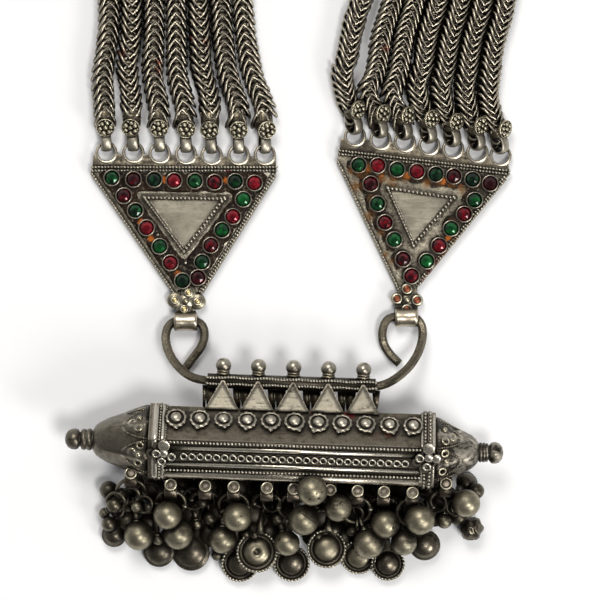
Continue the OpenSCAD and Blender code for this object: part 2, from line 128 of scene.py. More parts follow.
def mix(tree, factor, a, b, kind="FLOAT"):
    node = tree.nodes.new("ShaderNodeMix")
    node.data_type = kind
    first = {"FLOAT": 2, "RGBA": 6}[kind]
    for i, value in ((0, factor), (first, a), (first + 1, b)):
        feed(tree, node.inputs[i], value)
    return node.outputs[{"FLOAT": 0, "RGBA": 2}[kind]]


def span(tree, value, low, high, to_low=0.0, to_high=1.0):
    node = tree.nodes.new("ShaderNodeMapRange")
    for i, part in enumerate((value, low, high, to_low, to_high)):
        feed(tree, node.inputs[i], part)
    return node.outputs[0]


# Camera; both targets are a place in the photo and a height in mm
CAMERA_TILT = 88
CAMERA_DISTANCE = 0.7
VIEW_WIDTH = 0.15
SENSOR = 36
CAMERA_TARGET = (300, 300, 3)
LIGHT_TARGET = (300, 330, 5)


def aim(obj, place, target, up=(0, 1, 0)):
    """Puts an object at a place with its -Z toward a target and its Y toward up."""
    back = (Vector(place) - Vector(target)).normalized()
    side = Vector(up).cross(back).normalized()
    turn = Matrix((side, back.cross(side), back)).transposed()
    obj.matrix_world = Matrix.Translation(place) @ turn.to_4x4()


def add_camera():
    data = bpy.data.cameras.new("photo_camera")
    data.sensor_width = SENSOR
    data.lens = SENSOR * CAMERA_DISTANCE / VIEW_WIDTH
    data.clip_start = 0.01
    data.clip_end = 10
    camera = bpy.data.objects.new("photo_camera", data)
    bpy.context.scene.collection.objects.link(camera)
    target = pixel(*CAMERA_TARGET)
    tilt = math.radians(CAMERA_TILT)
    place = target + CAMERA_DISTANCE * Vector((0, -math.cos(tilt), math.sin(tilt)))
    aim(camera, place, target)
    bpy.context.scene.camera = camera


# Lights: name, direction from the pendant, distance, size, power, warmth
LIGHTS = [
    ("upper_left_box", (-0.14, 0.52, 0.82), 0.9, 0.42, 4.2, (1.0, 0.97, 0.92)),
    ("lower_right_box", (0.62, -0.58, 0.5), 0.9, 0.3, 3.5, (1.0, 0.99, 0.97)),
    ("high_right_box", (0.27, -0.3, 0.89), 1.0, 0.3, 5.0, (1.0, 0.98, 0.95)),
]


def add_lights():
    target = pixel(*LIGHT_TARGET)
    for name, direction, distance, size, power, tint in LIGHTS:
        data = bpy.data.lights.new(name, "AREA")
        data.shape = "DISK"
        data.size = size
        data.energy = power
        data.color = tint
        light = bpy.data.objects.new(name, data)
        bpy.context.scene.collection.objects.link(light)
        aim(light, target + distance * Vector(direction).normalized(), target, (0.01, 0.1, 1))
    bpy.context.scene.view_settings.view_transform = "Standard"


# Room round the table: pale toward the walls, dim overhead and darker on the near side
WALL_LIGHT = 0.5
CEILING_LIGHT = 0.16
NEAR_SHARE = 0.35
FAR_SHARE = 1.45


def add_room():
    world = bpy.data.worlds.new("studio")
    world.use_nodes = True
    tree = world.node_tree
    place = tree.nodes.new("ShaderNodeTexCoord")
    parts = tree.nodes.new("ShaderNodeSeparateXYZ")
    tree.links.new(place.outputs["Generated"], parts.inputs[0])
    level = span(tree, parts.outputs["Z"], 0.3, 0.95, WALL_LIGHT, CEILING_LIGHT)
    level = maths(tree, "MULTIPLY", level, span(tree, parts.outputs["Y"], -0.7, 0.7, NEAR_SHARE, FAR_SHARE))
    tree.nodes["Background"].inputs["Color"].default_value = (0.96, 0.97, 1.0, 1)
    tree.links.new(level, tree.nodes["Background"].inputs["Strength"])
    bpy.context.scene.world = world


# Small mesh helpers
AXIS_X, AXIS_Y, AXIS_Z = Vector((1, 0, 0)), Vector((0, 1, 0)), Vector((0, 0, 1))


def move_by(x, y, z):
    """A move in mm."""
    return Matrix.Translation(Vector((x, y, z)) * MM)


def set_layer(obj, label, values):
    """Stores one number for each point of a piece."""
    obj.data.attributes.new(label, "FLOAT", "POINT").data.foreach_set("value", values)


def grid_faces(rows, columns, joined=False, turned=False):
    """Quads between rows of points, each row a ring. Joined runs the last row into the first."""
    faces = []
    for i in range(rows if joined else rows - 1):
        step = ((i + 1) % rows - i) * columns
        for j in range(columns):
            a, b = i * columns + j, i * columns + (j + 1) % columns
            faces.append((a, b, b + step, a + step) if turned else (a, a + step, b + step, b))
    return faces


def mesh_object(name, points, faces, smooth=True):
    """A mesh object from points in metres."""
    mesh = bpy.data.meshes.new(name)
    mesh.from_pydata([tuple(p) for p in points], [], faces)
    mesh.update()
    if smooth:
        mesh.polygons.foreach_set("use_smooth", [True] * len(mesh.polygons))
    obj = bpy.data.objects.new(name, mesh)
    bpy.context.scene.collection.objects.link(obj)
    return obj


def tube(route, radii, sides, closed=False):
    """Points and faces of a tube along a route. radii is one value or one for each point."""
    count = len(route)
    if not hasattr(radii, "__len__"):
        radii = [radii] * count
    points = []
    side = None
    for i in range(count):
        before = route[i - 1] if closed or i else route[0]
        after = route[(i + 1) % count] if closed or i < count - 1 else route[-1]
        tangent = (after - before).normalized()
        if side is None:
            side = tangent.cross(AXIS_Z)
            if side.length < 0.01:
                side = tangent.cross(AXIS_Y)
        side = (side - side.dot(tangent) * tangent).normalized()
        up = side.cross(tangent)
        for j in range(sides):
            angle = math.tau * j / sides
            points.append(route[i] + radii[i] * (math.cos(angle) * side + math.sin(angle) * up))
    faces = grid_faces(count, sides, closed)
    if not closed:
        faces.append(tuple(range(sides)))
        faces.append(tuple(range((count - 1) * sides, count * sides))[::-1])
    return points, faces


def smooth_route(points, steps):
    """A Catmull-Rom curve through points."""
    last = len(points) - 1
    route = []
    for i in range(last):
        a, b = points[max(i - 1, 0)], points[i]
        c, d = points[i + 1], points[min(i + 2, last)]
        for j in range(steps):
            t = j / steps
            route.append(0.5 * (2 * b + (c - a) * t + (2 * a - 5 * b + 4 * c - d) * t * t
                                + (3 * b - a - 3 * c + d) * t ** 3))
    route.append(points[last])
    return route


def place_of(centre, across, along, normal):
    """A matrix that puts X, Y and Z along three directions at a centre."""
    turn = Matrix((across, along, normal)).transposed()
    return Matrix.Translation(centre) @ turn.to_4x4()


# Geometry Nodes: one tree repeats a small piece along paths, one puts copies at marked points
def add_input(tree, name, kind):
    return tree.interface.new_socket(name, in_out="INPUT", socket_type=kind)


def start_tree(name, source, inputs):
    """A tree that puts real copies of a piece, in one finish, at points that its other nodes find."""
    tree = bpy.data.node_groups.new(name, "GeometryNodeTree")
    add_input(tree, source, "NodeSocketGeometry")
    for label, kind in (("Piece", "NodeSocketObject"), *inputs, ("Finish", "NodeSocketMaterial")):
        add_input(tree, label, kind)
    tree.interface.new_socket("Copies", in_out="OUTPUT", socket_type="NodeSocketGeometry")
    new, link = tree.nodes.new, tree.links.new
    given = new("NodeGroupInput").outputs
    result = new("NodeGroupOutput")
    piece = new("GeometryNodeObjectInfo")
    piece.transform_space = "ORIGINAL"
    copies = new("GeometryNodeInstanceOnPoints")
    real = new("GeometryNodeRealizeInstances")
    finish = new("GeometryNodeSetMaterial")
    link(given["Piece"], piece.inputs["Object"])
    link(piece.outputs["Geometry"], copies.inputs["Instance"])
    link(copies.outputs["Instances"], real.inputs["Geometry"])
    link(real.outputs["Geometry"], finish.inputs["Geometry"])
    link(given["Finish"], finish.inputs["Material"])
    link(finish.outputs["Geometry"], result.inputs["Copies"])
    return tree, given, copies


def repeat_tree():
    """Copies at a pitch along a path, rolled about it, with a little jitter in turn and size."""
    tree, given, copies = start_tree("repeat_along_path", "Path", (
        ("Pitch", "NodeSocketFloat"), ("Roll", "NodeSocketFloat"), ("Turn jitter", "NodeSocketFloat"),
        ("Size jitter", "NodeSocketFloat"), ("Seed", "NodeSocketInt")))
    new, link = tree.nodes.new, tree.links.new
    normal = new("GeometryNodeSetCurveNormal")
    normal.mode = "Z_UP"
    points = new("GeometryNodeCurveToPoints")
    points.mode = "LENGTH"
    roll = new("FunctionNodeRotateRotation")
    roll.rotation_space = "LOCAL"
    angle = new("FunctionNodeAxisAngleToRotation")
    angle.inputs["Axis"].default_value = AXIS_Z
    spread = new("FunctionNodeRandomValue")
    size = new("FunctionNodeRandomValue")
    link(given["Path"], normal.inputs["Curve"])
    link(normal.outputs["Curve"], points.inputs["Curve"])
    link(given["Pitch"], points.inputs["Length"])
    link(points.outputs["Points"], copies.inputs["Points"])
    link(maths(tree, "MULTIPLY", given["Turn jitter"], -1), spread.inputs[2])
    link(given["Turn jitter"], spread.inputs[3])
    link(given["Seed"], spread.inputs["Seed"])
    link(maths(tree, "ADD", given["Roll"], spread.outputs[1]), angle.inputs["Angle"])
    link(points.outputs["Rotation"], roll.inputs["Rotation"])
    link(angle.outputs["Rotation"], roll.inputs["Rotate By"])
    link(roll.outputs["Rotation"], copies.inputs["Rotation"])
    link(maths(tree, "SUBTRACT", 1, given["Size jitter"]), size.inputs[2])
    link(maths(tree, "ADD", 1, given["Size jitter"]), size.inputs[3])
    link(given["Seed"], size.inputs["Seed"])
    link(size.outputs[1], copies.inputs["Scale"])
    return tree


def copies_tree():
    """Copies at marked points, each with its own turn and size."""
    tree, given, copies = start_tree("copies_at_points", "Places", ())
    new, link = tree.nodes.new, tree.links.new
    marks = []
    for label in ("turn", "size"):
        mark = new("GeometryNodeInputNamedAttribute")
        mark.data_type = "FLOAT_VECTOR"
        mark.inputs["Name"].default_value = label
        marks.append(mark.outputs["Attribute"])
    euler = new("FunctionNodeEulerToRotation")
    link(given["Places"], copies.inputs["Points"])
    link(marks[0], euler.inputs["Euler"])
    link(euler.outputs["Rotation"], copies.inputs["Rotation"])
    link(marks[1], copies.inputs["Scale"])
    return tree


REPEAT = repeat_tree()
COPIES = copies_tree()


def run_tree(carrier, tree, values, name):
    """Runs a tree on a carrier object and returns the result as a plain mesh object."""
    modifier = carrier.modifiers.new("tree", "NODES")
    modifier.node_group = tree
    for item in tree.interface.items_tree:
        if item.in_out == "INPUT" and item.name in values:
            modifier[item.identifier] = values[item.name]
    bpy.context.view_layer.update()
    graph = bpy.context.evaluated_depsgraph_get()
    mesh = bpy.data.meshes.new_from_object(carrier.evaluated_get(graph))
    mesh.name = name
    mesh.polygons.foreach_set("use_smooth", [True] * len(mesh.polygons))
    obj = bpy.data.objects.new(name, mesh)
    bpy.context.scene.collection.objects.link(obj)
    bpy.data.objects.remove(carrier)
    return obj


def repeat_along(name, paths, piece, pitch, finish, roll=0.0, turn_jitter=0.0, size_jitter=0.0, seed=1):
    """Copies of a piece at a pitch along paths, each a list of points and whether it is closed."""
    curve = bpy.data.curves.new(name + "_paths", "CURVE")
    curve.dimensions = "3D"
    for points, closed in paths:
        spline = curve.splines.new("POLY")
        spline.points.add(len(points) - 1)
        spline.points.foreach_set("co", [c for p in points for c in (*p, 1.0)])
        spline.use_cyclic_u = closed
    carrier = bpy.data.objects.new(name + "_paths", curve)
    bpy.context.scene.collection.objects.link(carrier)
    values = {"Piece": piece, "Pitch": pitch, "Roll": roll, "Turn jitter": turn_jitter,
              "Size jitter": size_jitter, "Seed": seed, "Finish": finish}
    return run_tree(carrier, REPEAT, values, name)


def copies_at(name, places, piece, finish):
    """Copies of a piece at places, each a matrix with its turn and size."""
    mesh = bpy.data.meshes.new(name + "_places")
    mesh.from_pydata([tuple(m.translation) for m in places], [], [])
    turn = mesh.attributes.new("turn", "FLOAT_VECTOR", "POINT")
    turn.data.foreach_set("vector", [c for m in places for c in m.to_euler()])
    size = mesh.attributes.new("size", "FLOAT_VECTOR", "POINT")
    size.data.foreach_set("vector", [c for m in places for c in m.to_scale()])
    carrier = bpy.data.objects.new(name + "_places", mesh)
    bpy.context.scene.collection.objects.link(carrier)
    return run_tree(carrier, COPIES, {"Piece": piece, "Finish": finish}, name)


# Finishes
def new_group(name, inputs, outputs):
    """A shader node group with named sockets: inputs are (name, kind, default)."""
    group = bpy.data.node_groups.new(name, "ShaderNodeTree")
    for label, kind, value in inputs:
        socket = group.interface.new_socket(label, in_out="INPUT", socket_type=kind)
        socket.default_value = value
    for label, kind in outputs:
        group.interface.new_socket(label, in_out="OUTPUT", socket_type=kind)
    return group


# Noises of the metal for each metre: drifting patches, fine grain and streaks, which are drawn out along X
PATCH_SCALE = 95.0
FINE_SCALE = 3200.0
STREAK_SCALE = 1500.0
DRAWN = (0.14, 1, 1)


def closeness(tree, reach, samples, inward=False):
    """How open a place lies: 1 in the open and 0 deep in a crevice, or in thin metal if inward."""
    node = tree.nodes.new("ShaderNodeAmbientOcclusion")
    node.samples = samples
    node.inside = inward
    feed(tree, node.inputs["Distance"], reach)
    return node.outputs["AO"]


def scaled(tree, vector, operation, socket, value):
    """A vector or colour multiplied by one value or by three."""
    node = tree.nodes.new("ShaderNodeVectorMath")
    node.operation = operation
    tree.links.new(vector, node.inputs[0])
    feed(tree, node.inputs[socket], value)
    return node.outputs[0]


def aged_metal_group():
    """Old silver: worn bright on its edges, dark in every crevice and where parts lie close, with drifting
    patches and fine streaks. The darkening by closeness is patina in narrow hollows and painted shade where
    its reach runs to several mm.
    """
    number, color = "NodeSocketFloat", "NodeSocketColor"
    group = new_group("aged_metal", [
        ("Metal", color, (0.3, 0.27, 0.2, 1)), ("Worn", color, (0.75, 0.7, 0.58, 1)),
        ("Patina", color, (0.02, 0.016, 0.011, 1)), ("Dirt and shade", number, 1.0), ("Reach", number, 0.0012),
        ("Film", number, 0.3), ("Grain", number, 700.0), ("Edge", number, 0.8),
        ("Edge reach", number, 0.0004), ("Smooth", number, 0.25), ("Matt", number, 0.55),
        ("Bump", number, 0.2)],
        [("Color", color), ("Roughness", number), ("Metallic", number), ("Normal", "NodeSocketVector")])
    link = group.links.new
    given = group.nodes.new("NodeGroupInput").outputs
    result = group.nodes.new("NodeGroupOutput").inputs
    place = object_place(group)
    drawn = scaled(group, place, "MULTIPLY", 1, DRAWN)
    grain = noise(group, place, given["Grain"])
    patch = noise(group, place, PATCH_SCALE, 2.0)
    fine = noise(group, place, FINE_SCALE, 2.0)
    streak = noise(group, drawn, STREAK_SCALE, 3.0)
    # Darkening by closeness: patina in narrow hollows, and painted shade between parts where the reach is
    # several mm
    patina_and_painted_shade = span(group, closeness(group, given["Reach"], 6), 0.95, 0.45)
    patina_and_painted_shade = maths(group, "MULTIPLY", patina_and_painted_shade, given["Dirt and shade"])
    ridge = span(group, closeness(group, given["Edge reach"], 4, True), 0.9, 0.55)
    worn = maths(group, "MULTIPLY", ridge, given["Edge"])
    film = maths(group, "ADD", maths(group, "ADD", grain, patch), streak)
    film = maths(group, "MULTIPLY", span(group, film, 1.3, 1.8), given["Film"])
    # The tarnish film and the darkening by closeness, which is partly painted shade, mixed toward the patina
    # colour
    dirt_and_shade = maths(group, "ADD", patina_and_painted_shade, film)
    dirt_and_shade = maths(group, "SUBTRACT", dirt_and_shade, maths(group, "MULTIPLY", worn, 0.6), clamp=True)
    shade = span(group, streak, 0.3, 0.7, 0.8, 1.15)
    shade = maths(group, "MULTIPLY", span(group, patch, 0.3, 0.7, 0.75, 1.2), shade)
    tone = scaled(group, given["Metal"], "SCALE", "Scale", shade)
    rubbed = maths(group, "MULTIPLY", worn, span(group, grain, 0.3, 0.6, 0.5, 1))
    rubbed = mix(group, rubbed, tone, given["Worn"], "RGBA")
    link(mix(group, dirt_and_shade, rubbed, given["Patina"], "RGBA"), result["Color"])
    rough = mix(group, dirt_and_shade, given["Smooth"], given["Matt"])
    link(maths(group, "ADD", rough, span(group, fine, 0.3, 0.7, -0.05, 0.07)), result["Roughness"])
    link(span(group, dirt_and_shade, 0.0, 1.0, 1.0, 0.75), result["Metallic"])
    height = maths(group, "ADD", grain, maths(group, "MULTIPLY", fine, 0.35))
    height = maths(group, "ADD", height, maths(group, "MULTIPLY", streak, 0.3))
    link(bump_from(group, height, given["Bump"]), result["Normal"])
    return group


AGED_METAL = aged_metal_group()


def new_material(name):
    """A material with its node tree and its shader."""
    material = bpy.data.materials.new(name)
    material.use_nodes = True
    return material, material.node_tree, material.node_tree.nodes["Principled BSDF"]


def aged_silver(name, metal, worn, dirt_and_shade, reach, film, grain, edge, smooth, matt, bump):
    """A silver finish from the aged metal group, with its own values."""
    material, tree, shader = new_material(name + "_silver")
    group = tree.nodes.new("ShaderNodeGroup")
    group.node_tree = AGED_METAL
    for label, value in (("Metal", (*metal, 1)), ("Worn", (*worn, 1)), ("Dirt and shade", dirt_and_shade), ("Reach", reach * MM),
                         ("Film", film), ("Grain", grain), ("Edge", edge), ("Smooth", smooth), ("Matt", matt),
                         ("Bump", bump)):
        group.inputs[label].default_value = value
    for label, target in (("Color", "Base Color"), ("Roughness", "Roughness"), ("Metallic", "Metallic"),
                          ("Normal", "Normal")):
        tree.links.new(group.outputs[label], shader.inputs[target])
    return material


def blend_in(finish, share, color):
    """Mixes a colour into what a finish has so far."""
    tree = finish.node_tree
    target = tree.nodes["Principled BSDF"].inputs["Base Color"]
    tree.links.new(mix(tree, share, target.links[0].from_socket, color, "RGBA"), target)


def add_stain(finish, color, spots):
    """Colours a finish round each spot, a place and a reach in mm, with a ragged border."""
    tree = finish.node_tree
    place = object_place(tree)
    stain = 0.0
    for middle, reach in spots:
        gap = tree.nodes.new("ShaderNodeVectorMath")
        gap.operation = "DISTANCE"
        gap.inputs[1].default_value = middle
        tree.links.new(place, gap.inputs[0])
        near = span(tree, gap.outputs["Value"], reach * MM, 0.2 * reach * MM)
        stain = maths(tree, "MAXIMUM", near, stain)
    ragged = maths(tree, "MULTIPLY", stain, span(tree, noise(tree, place, 900.0), 0.36, 0.56, 0.25, 1.0))
    blend_in(finish, ragged, color)


# Old silver finishes. Columns: colour of the metal, colour where it is rubbed, darkening by closeness and its
# reach in mm (patina in the crevices, and painted shade between parts where the reach is long), film of
# tarnish, size of the grain, rubbed edges, roughness clean and dirty, and bump
SILVERS = {
    "case": ((0.235, 0.203, 0.15), (0.6, 0.545, 0.44), 1.6, 3, 0.8, 700, 0.45, 0.26, 0.42, 0.2),
    "wire": ((0.56, 0.51, 0.41), (0.74, 0.69, 0.58), 1.6, 1.2, 0.6, 700, 0.8, 0.22, 0.4, 0.2),
    "moulding": ((0.44, 0.39, 0.3), (0.66, 0.6, 0.49), 1.5, 3, 0.8, 700, 0.8, 0.22, 0.42, 0.3),
    "lug": ((0.17, 0.152, 0.112), (0.5, 0.46, 0.37), 1.6, 2, 1.1, 700, 0.5, 0.46, 0.6, 0.3),
    "pale_cap": ((0.5, 0.455, 0.375), (0.6, 0.55, 0.46), 1.5, 3, 1.2, 520, 0.8, 0.36, 0.45, 0.35),
    "cap": ((0.22, 0.195, 0.15), (0.5, 0.46, 0.38), 1.4, 3, 0.9, 700, 0.8, 0.32, 0.42, 0.3),
    "hook": ((0.2, 0.172, 0.122), (0.7, 0.65, 0.52), 1.1, 2, 0.8, 420, 0.4, 0.2, 0.55, 0.45),
    "plate": ((0.45, 0.405, 0.31), (0.72, 0.67, 0.56), 1.7, 2.5, 0.6, 1100, 0.6, 0.26, 0.55, 0.9),
    "strip": ((0.16, 0.137, 0.098), (0.66, 0.61, 0.5), 2, 4, 1, 900, 0.5, 0.3, 0.55, 0.5),
    "chain": ((0.57, 0.505, 0.39), (0.72, 0.67, 0.55), 1.5, 3, 0.35, 700, 0.5, 0.28, 0.4, 0.1),
    "fringe": ((0.33, 0.297, 0.21), (0.58, 0.53, 0.42), 1.5, 6, 0.7, 700, 0.6, 0.38, 0.48, 0.12),
    "dish": ((0.28, 0.25, 0.18), (0.6, 0.55, 0.44), 2.2, 2.5, 0.5, 700, 0.3, 0.34, 0.45, 0.15),
    "dome": ((0.15, 0.13, 0.098), (0.4, 0.36, 0.28), 1.4, 5, 0.7, 700, 0.3, 0.24, 0.4, 0.2),
    "rim": ((0.5, 0.46, 0.36), (0.7, 0.65, 0.54), 1.8, 1.2, 0.5, 700, 0.4, 0.24, 0.55, 0.05),
    "bead": ((0.42, 0.38, 0.3), (0.74, 0.69, 0.57), 1.8, 1, 0.3, 700, 0.35, 0.22, 0.55, 0.05),
    # A near-black metal for the tube inside the chains, which paints the shade between the links
    "shade_core": ((0.08, 0.066, 0.048), (0.25, 0.22, 0.17), 1.4, 3, 0.8, 700, 0.3, 0.3, 0.4, 0.1),
    # A darker copy of the fringe metal for the lower drops: painted shade
    "shaded_low_drop": ((0.16, 0.14, 0.1), (0.42, 0.38, 0.3), 1.6, 8, 0.7, 700, 0.4, 0.3, 0.42, 0.15),
    # A near-black metal that paints patina and shade in the gaps between beads
    "dark_patina_and_shade": ((0.08, 0.066, 0.048), (0.25, 0.22, 0.17), 2, 8, 0.8, 700, 0.3, 0.3, 0.4, 0.1),
    "strap": ((0.11, 0.085, 0.06), (0.3, 0.26, 0.2), 1.8, 3, 0.8, 700, 0.4, 0.3, 0.45, 0.3),
    "bright": ((0.6, 0.555, 0.46), (0.75, 0.7, 0.58), 1.5, 1.2, 0.35, 700, 0.3, 0.24, 0.4, 0.12),
    "satin": ((0.42, 0.385, 0.31), (0.68, 0.64, 0.53), 1.6, 1.5, 0.35, 700, 0.3, 0.38, 0.46, 0.15),
    "button": ((0.5, 0.46, 0.375), (0.75, 0.7, 0.58), 1.5, 1.2, 0.5, 1400, 0.3, 0.36, 0.45, 0.4),
    "petal": ((0.46, 0.415, 0.3), (0.76, 0.71, 0.56), 2.4, 1.2, 0.3, 700, 0.4, 0.28, 0.42, 0.1),
    "gilt": ((0.62, 0.5, 0.25), (0.7, 0.6, 0.35), 1.2, 0.8, 0.3, 700, 0.2, 0.35, 0.45, 0.1),
    "russet": ((0.22, 0.06, 0.03), (0.4, 0.2, 0.13), 1.2, 0.8, 0.5, 700, 0.2, 0.4, 0.5, 0.2),
    "pit": ((0.3, 0.25, 0.2), (0.4, 0.35, 0.28), 1, 1, 0.5, 700, 0.2, 0.45, 0.55, 0.3),
    "sleeve": ((0.2, 0.168, 0.115), (0.45, 0.4, 0.3), 1.6, 2, 0.7, 1500, 0.5, 0.3, 0.45, 0.5),
    "granule": ((0.52, 0.475, 0.345), (0.74, 0.69, 0.54), 1.3, 0.8, 0.5, 700, 0.3, 0.34, 0.4, 0.05),
    "field": ((0.15, 0.136, 0.096), (0.75, 0.7, 0.58), 1.8, 2.5, 0.65, 380, 0.3, 0.4, 0.55, 0.12),
    "rope": ((0.44, 0.4, 0.32), (0.76, 0.71, 0.6), 1.9, 0.8, 0.6, 700, 0.3, 0.24, 0.55, 0.05),
    "bezel": ((0.3, 0.262, 0.2), (0.62, 0.57, 0.47), 1.6, 1.2, 0.7, 700, 0.6, 0.26, 0.45, 0.2),
    "black": ((0.02, 0.016, 0.012), (0.03, 0.025, 0.02), 1, 1.2, 0.5, 700, 0.8, 0.5, 0.6, 0.2),
    "rosette": ((0.46, 0.41, 0.29), (0.7, 0.65, 0.5), 1.1, 1.2, 0.5, 700, 0.4, 0.22, 0.55, 0.1),
}
FINISH = {name: aged_silver(name, *row) for name, row in SILVERS.items()}


def wear(obj, finish):
    """Gives an object one finish in place of all that it had."""
    obj.data.materials.clear()
    obj.data.materials.append(finish)


def add_piece(obj, finish=None):
    """Makes an object a piece of the necklace."""
    if finish is not None:
        wear(obj, finish)
    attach(obj, BODY)
    return obj


# Foxtail chains: each link is a loop folded in two, and a second set is turned a quarter round
WIRE_R = 0.41
LINK_REACH = 2.5
LINK_RISE = 1.98
LINK_DROP = 4.3
CROSS_REACH = 1.5
CROSS_RISE = 1.5
CROSS_DROP = 2.9
LINK_STEPS = 12
LINK_SIDES = 4


def folded_link(name, reach, rise, drop):
    """A folded loop in mm made in metres: its fold is at the top, its two ears drop along +Z."""
    route = []
    for i in range(LINK_STEPS):
        angle = math.tau * i / LINK_STEPS
        across, up = math.cos(angle), math.sin(angle)
        route.append(Vector((reach * math.copysign(abs(across) ** 0.85, across),
                             rise * math.copysign(abs(up) ** 0.5, up),
                             drop * abs(across) ** 1.5)) * MM)
    points, faces = tube(route, WIRE_R * MM, LINK_SIDES, closed=True)
    return mesh_object(name, points, faces)


# Route of the middle strand: x, y, outward angle, distance between strands, as the tubes lie
ROUTE = [
    (-30.4, 57.8, 181, 6.2), (-30.6, 66, 181, 5.8), (-30.8, 74, 182, 5.6), (-31.8, 90, 185, 5.5),
    (-35, 112, 194, 5.4), (-42.5, 136, 200, 5.4), (-52, 160, 202, 5.4), (-61.5, 185, 199, 5.4),
    (-69, 210, 193, 5.4), (-73, 235, 184, 5.4), (-72.5, 260, 172, 5.4), (-65, 283, 153, 5.4),
    (-49, 302, 130, 5.4), (-26, 314, 108, 5.4), (0, 318, 90, 5.4), (26, 314, 72, 5.4),
    (49, 302, 50, 5.4), (65, 283, 27, 5.4), (72.5, 260, 8, 5.4), (73, 235, -4, 5.4),
    (70.5, 210, -10, 5.4), (65.5, 185, -14, 5.4), (58.5, 160, -17, 5.4), (51, 136, -17, 5.4),
    (44, 112, -16, 5.4), (37.5, 90, -15, 5.4), (33.5, 74, -12, 5.5), (31.2, 66, -9, 5.6),
    (29.8, 57.8, -5, 5.7)]
NECK_ROW = 14
STRANDS = 7
CHAIN_Z = 2.65
LEFT_RINGS = [(-48.6, 37), (-41.8, 37), (-35.2, 36.8), (-28.6, 36.6), (-22.2, 36.4), (-15.4, 36.4),
              (-8.8, 36.4)]
RIGHT_RINGS = [(13.8, 41.1), (20.2, 40.2), (26.3, 39.7), (32.4, 38.9), (38.4, 38), (44.5, 37.1), (50.3, 36.2)]
LEAN = {"left": 3, "right": 14}
RINGS = {"left": LEFT_RINGS, "right": RIGHT_RINGS}
EYE_OFFSET = 1.85
RING_Z = 1.9
CAP_LENGTH = 7.0
LEAD = 4.6

# Pitch of the links and which way their folds point, by side, from the outer strand inward
PITCH = {"left": 2.2, "right": 1.8}
# A dark tube of this radius inside each strand paints the shade between its links
CORE_R = 1.4
CORE_SIDES = 8
RUNG_PITCH = 1.1
RUNG_COLOR = (0.4, 0.35, 0.26, 1)
FOLD_UP = {"left": (1, 0, 1, 1, 0, 1, 1), "right": (0, 0, 0, 0, 1, 1, 0)}
STRAND_ROLL = {"left": (-0.25, 0.2, -0.15, 0.1, 0.3, -0.2, 0.15),
               "right": (0.35, 0.25, 0.3, 0.2, 0.1, -0.1, 0.3)}
LINK_TURN_JITTER, LINK_SIZE_JITTER = 0.07, 0.03


def past_eye(side, ring, reach):
    lean = math.radians(LEAN[side])
    return pendant(ring[0] - reach * math.sin(lean), ring[1] + EYE_OFFSET + reach * math.cos(lean), CHAIN_Z)


BACK_Y = 185
BACK_INSET = 1.1
TIP_GAP = 3.0
CAP_COVER = {"left": 0.8, "right": 3.8}
BUNDLE_SHIFT = {"left": -0.35, "right": 0.8}
LONE_STRAND_SHIFT = -2.0
LONE_STRAND_END = 150


def half_strand(side, k, fold_up):
    """The route of a strand from its cap to the back of the neck. Ears that point at the cap stop short."""
    rows = ROUTE[:NECK_ROW + 1] if side == "left" else ROUTE[NECK_ROW:][::-1]
    ring = RINGS["left"][k] if side == "left" else RINGS["right"][STRANDS - 1 - k]
    start = CAP_LENGTH - CAP_COVER[side] + (TIP_GAP if fold_up else 0)
    points = [past_eye(side, ring, start), past_eye(side, ring, CAP_LENGTH + LEAD)]
    for x, y, outward, apart in rows:
        angle = math.radians(outward)
        out = (3 - k) * apart - (BACK_INSET if y >= BACK_Y else 0)
        if y < LONE_STRAND_END:
            x += BUNDLE_SHIFT[side]
            if side == "right" and k == STRANDS - 1:
                x += LONE_STRAND_SHIFT
        points.append(pendant(x + out * math.cos(angle), y + out * math.sin(angle), CHAIN_Z))
    return smooth_route(points, 8)


# Chain ends: a sleeve over the strand, a granulated rosette and a domed strap that hangs on the ring
END_ROLL = {"left": (4, -6, 3, 8, -4, 6, 16), "right": (40, 36, 40, 34, 38, 40, 46)}
END_LIFT = {"left": 0.0, "right": 1.0}
STRAP_SECTION = [(-1.25, -0.28), (1.25, -0.28), (1.32, 0.02), (1.05, 0.2), (0.55, 0.33), (0, 0.37),
                 (-0.55, 0.33), (-1.05, 0.2), (-1.32, 0.02)]
STRAP_MIDDLE, STRAP_LONG = 1.2, 2.4
STRAP_DEEP = {"left": 1.4, "right": 1.9}
STRAP_STEPS = 28
# Inset of the black inner skin that paints the shade inside each strap's loop
STRAP_SHADE_INSET = 0.3
DISC_ROWS = [(0, -0.6), (2.0, -0.6), (2.3, -0.15), (2.36, 0.4), (2.24, 0.58), (2.08, 0.5), (1.98, 0.15),
             (0, 0.12)]
DISC_PLACE = (4.3, 2.7)
DISC_TILT = 0.45
SLEEVE_ROWS = {"left": [(2.7, 0.9), (3.6, 1.6), (5.0, 2.15), (6.6, 2.36), (8.4, 2.3), (9.2, 1.9)],
               "right": [(2.2, 0.8), (3.0, 1.4), (4.0, 1.6), (5.0, 1.5)]}
SLEEVE_GRAINS = {"left": 34, "right": 8}
SLEEVE_R = 2.3

# Rings of grains on a rosette: distance from its middle, turn of the first and size. Rows shape one grain
ROSETTE_RINGS = [(1.32, 0, 0.7), (1.75, 30, 0.36)]
GRAIN_SEAT = 0.42
GRAIN_ROWS = [(0, -1), (0.7, -0.7), (1, 0), (0.85, 0.5), (0.5, 0.85), (0, 1)]


